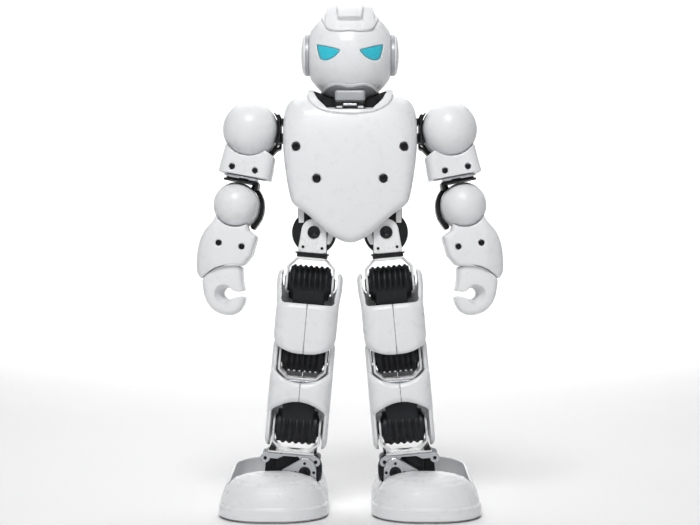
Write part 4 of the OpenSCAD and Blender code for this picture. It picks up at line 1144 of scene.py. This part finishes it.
TOE_LINE = [(-0.1, 0.0), (60, 0.0), (60, 34.2), (31, 33.8), (20.7, 32.2), (13.5, 29.6), (9, 25.9),
    (5.6, 21.4), (3.4, 16.2), (2.2, 12.8), (1.7, 11.0), (1.3, 10.3), (0.5, 10.0), (0.0, 9.4)]


def toe_field(x, y, z):
    depth = -foot_plan(x, y)
    outer = smax(poly(TOE_LINE, depth, z), y - TOE_BACK, 1.0)
    # a broad shallow panel over the instep
    panel = rect(x, y + 14, 26 + 0.25 * (z - 20), 36.0, 16.0)
    outer = outer + 0.45 * clip(-panel / 1.6, 0, 1) * clip((z - 12) / 4, 0, 1)
    inner = poly(TOE_LINE, depth - 2.2, z + 2.2)
    shell = smax(outer, -inner, 0.6)
    return smax(shell, 0.35 - z, 0.3)


def heel_field(x, y, z):
    """Upright collar behind the toe: it leans in with the instep at the sides and stands steep behind."""
    rear = clip((y + 22) / 76.0, 0, 1)
    top = 24.6 + 10.2 * rear ** 0.85
    lean = (9.0 - 4.0 * rear) * clip((z - 8) / 23.0, 0, 1.3) ** 1.6
    plan = foot_plan(x, y, 0.35) + lean
    wall = smax(plan, -(plan + 2.2), 0.4)
    wall = smax(wall, z - top, 0.9)
    wall = smax(wall, TOE_BACK + 0.5 - y, 0.4)
    # room for the drum of the ankle roll servo
    drum = maximum(hypot(x + FOOT_X - ROLL[0], z - ROLL[2]) - 13.7, abs(y) - 17.6)
    wall = cut(wall, drum, 0.4)
    return smax(wall, 4.05 - z, 0.3)


def sole_field(x, y, z):
    inset = 2.6 * clip((TOE_BACK + 0.3 - y) / 0.5, 0, 1)
    plate = smax(foot_plan(x, y) + inset, abs(z - 2.0) - 1.99, 0.9)
    ribs = maximum(abs(abs(y - 22) - 14) - 0.8, abs(x) - 34)
    plate = smin(plate, smax(smax(ribs, z - 5.2, 0.4), 3.0 - z, 0.3), 0.6)
    for sx in (-26, 26):
        for sy in (-40, 40):
            plate = cut(plate, maximum(hypot(x - sx, y - sy) - 2.6, z - 1.2), 0.4)
    groove = smax(abs(foot_plan(x, y, 6.0)) - 0.6, z - 0.7, 0.2)
    return cut(plate, groove, 0.3)


FOOT_EAR = [(-9.2, -27.0), (-9.2, 3.0), (-8.4, 6.4), (-6.2, 9.2), (-3.2, 11.1), (0.0, 11.7), (2.4, 11.1),
    (5.0, 9.6), (17.5, 2.6), (21.0, -5.0), (21.0, -27.0)]


def foot_ear_field(x, y, z):
    """Metal ears of the foot round the ankle roll servo; x is measured from the roll axis."""
    h = z - ROLL[2]
    ears = smax(poly(FOOT_EAR, x, h) + 0.3, abs(abs(y) - 17.7) - 0.9, 0.5)
    floor = block(x, y, z, (-9, -18.6, 3.9), (20, 18.6, 5.8), 0.4)
    body = smin(ears, floor, 0.5)
    body = cut(body, hypot(x, h) - 3.05, 0.3)
    return cut(body, maximum(rect(x - 6, z - 12.5, 6.0, 2.6, 2.4), 10 - abs(y)), 0.4)


pair("toe_dome", toe_field, (-43, -63, 3), (43, -19, 35), "SIDE_foot", WHITE, "SIDE_toe_cap", FOOT)
pair("heel_wall", heel_field, (-43, -21, 3), (43, 63, 36), "SIDE_foot", WHITE, "SIDE_heel_shell", FOOT)
pair("sole", sole_field, (-43, -63, -0.5), (43, 63, 6), "SIDE_foot", WHITE, "SIDE_foot_sole", FOOT)
pair("foot_ears", foot_ear_field, (-10, -20, 3), (22, 20, 44), "SIDE_foot", STEEL, "", at(ROLL[0], 0, 0), 0.8)
foot_horns = horn_set(16.8, 18.6, [(0, -7.0, 0.0), (0, 0.0, 7.0), (0, 7.0, 0.0)], 1.0, -90)
on_both_sides("foot_caps", foot_horns, "SIDE_foot", HORN, place=at(*ROLL))

dress(("body_frame",), BRIGHT)
dress(("battery_pack",), WRAP)
dress(("control_board",), BOARD)
dress(("neck_bracket", "power_switch"), BLACK)


# ---------------------------------------------------------------- stage, light and camera

def area(name, place, target, size, power, colour=(1, 1, 1), height=None):
    lamp = bpy.data.lights.new(name, "AREA")
    lamp.shape = "RECTANGLE"
    lamp.size, lamp.size_y = size, height or size
    lamp.energy = power
    lamp.color = colour
    obj = bpy.data.objects.new(name, lamp)
    bpy.context.scene.collection.objects.link(obj)
    obj.location = place
    obj.rotation_euler = (Vector(target) - Vector(place)).to_track_quat("-Z", "Y").to_euler()
    return obj


def floor_material():
    mat, nodes, links, texture, ramp = base_material("studio_floor")
    shader = nodes["Principled BSDF"]
    shader.inputs["Roughness"].default_value = 0.6
    links.new(ramp(texture(3.0), (0.88, 0.88, 0.885, 1), (0.91, 0.91, 0.91, 1), 0.0, 1.0),
              shader.inputs["Base Color"])
    return mat


def build_floor():
    """Round floor that turns up into a wall all the way round."""
    wall, r, rise = 3200, 900, 3000
    bend = [(wall - r + r * math.sin(a), r - r * math.cos(a)) for a in np.linspace(0.1, math.pi / 2, 14)]
    points, faces = lathe([(0, 0), (300, 0), (wall - r, 0)] + bend + [(wall, rise), (0, rise)], 96)
    top = len(points) - 1
    faces = [f[::-1] for f in faces if f[0] != top]
    mesh_object("studio_floor", points[:top], faces, HERE, floor_material())


build_floor()
scene = bpy.context.scene
scene.view_settings.view_transform = "Standard"
world = bpy.data.worlds.new("studio")
world.use_nodes = True
world.node_tree.nodes["Background"].inputs["Color"].default_value = (0.93, 0.95, 1.0, 1)
world.node_tree.nodes["Background"].inputs["Strength"].default_value = 0.03
scene.world = world
area("key", (-0.15, -1.05, 1.25), (0, 0, 0.2), 0.6, 14.8, height=0.45)
area("top", (0.0, -0.1, 1.5), (0, 0, 0.2), 0.8, 0.8)
area("front", (0.0, -2.0, 0.5), (0, 0, 0.15), 0.6, 1.0)
area("sweep", (0.0, 0.9, 1.3), (0, 1.2, 0.0), 1.5, 15)
area("backdrop", (0.0, 2.1, 1.5), (0, 3.2, 0.45), 1.3, 26)

camera = bpy.data.cameras.new("camera")
camera.sensor_width = 36.0
camera.lens = 72.3
camera.clip_start = 0.05
viewer = bpy.data.objects.new("camera", camera)
viewer.location = (0.0, -1.1, 0.1933)
viewer.rotation_euler = (math.radians(90), 0, 0)
scene.collection.objects.link(viewer)
scene.camera = viewer
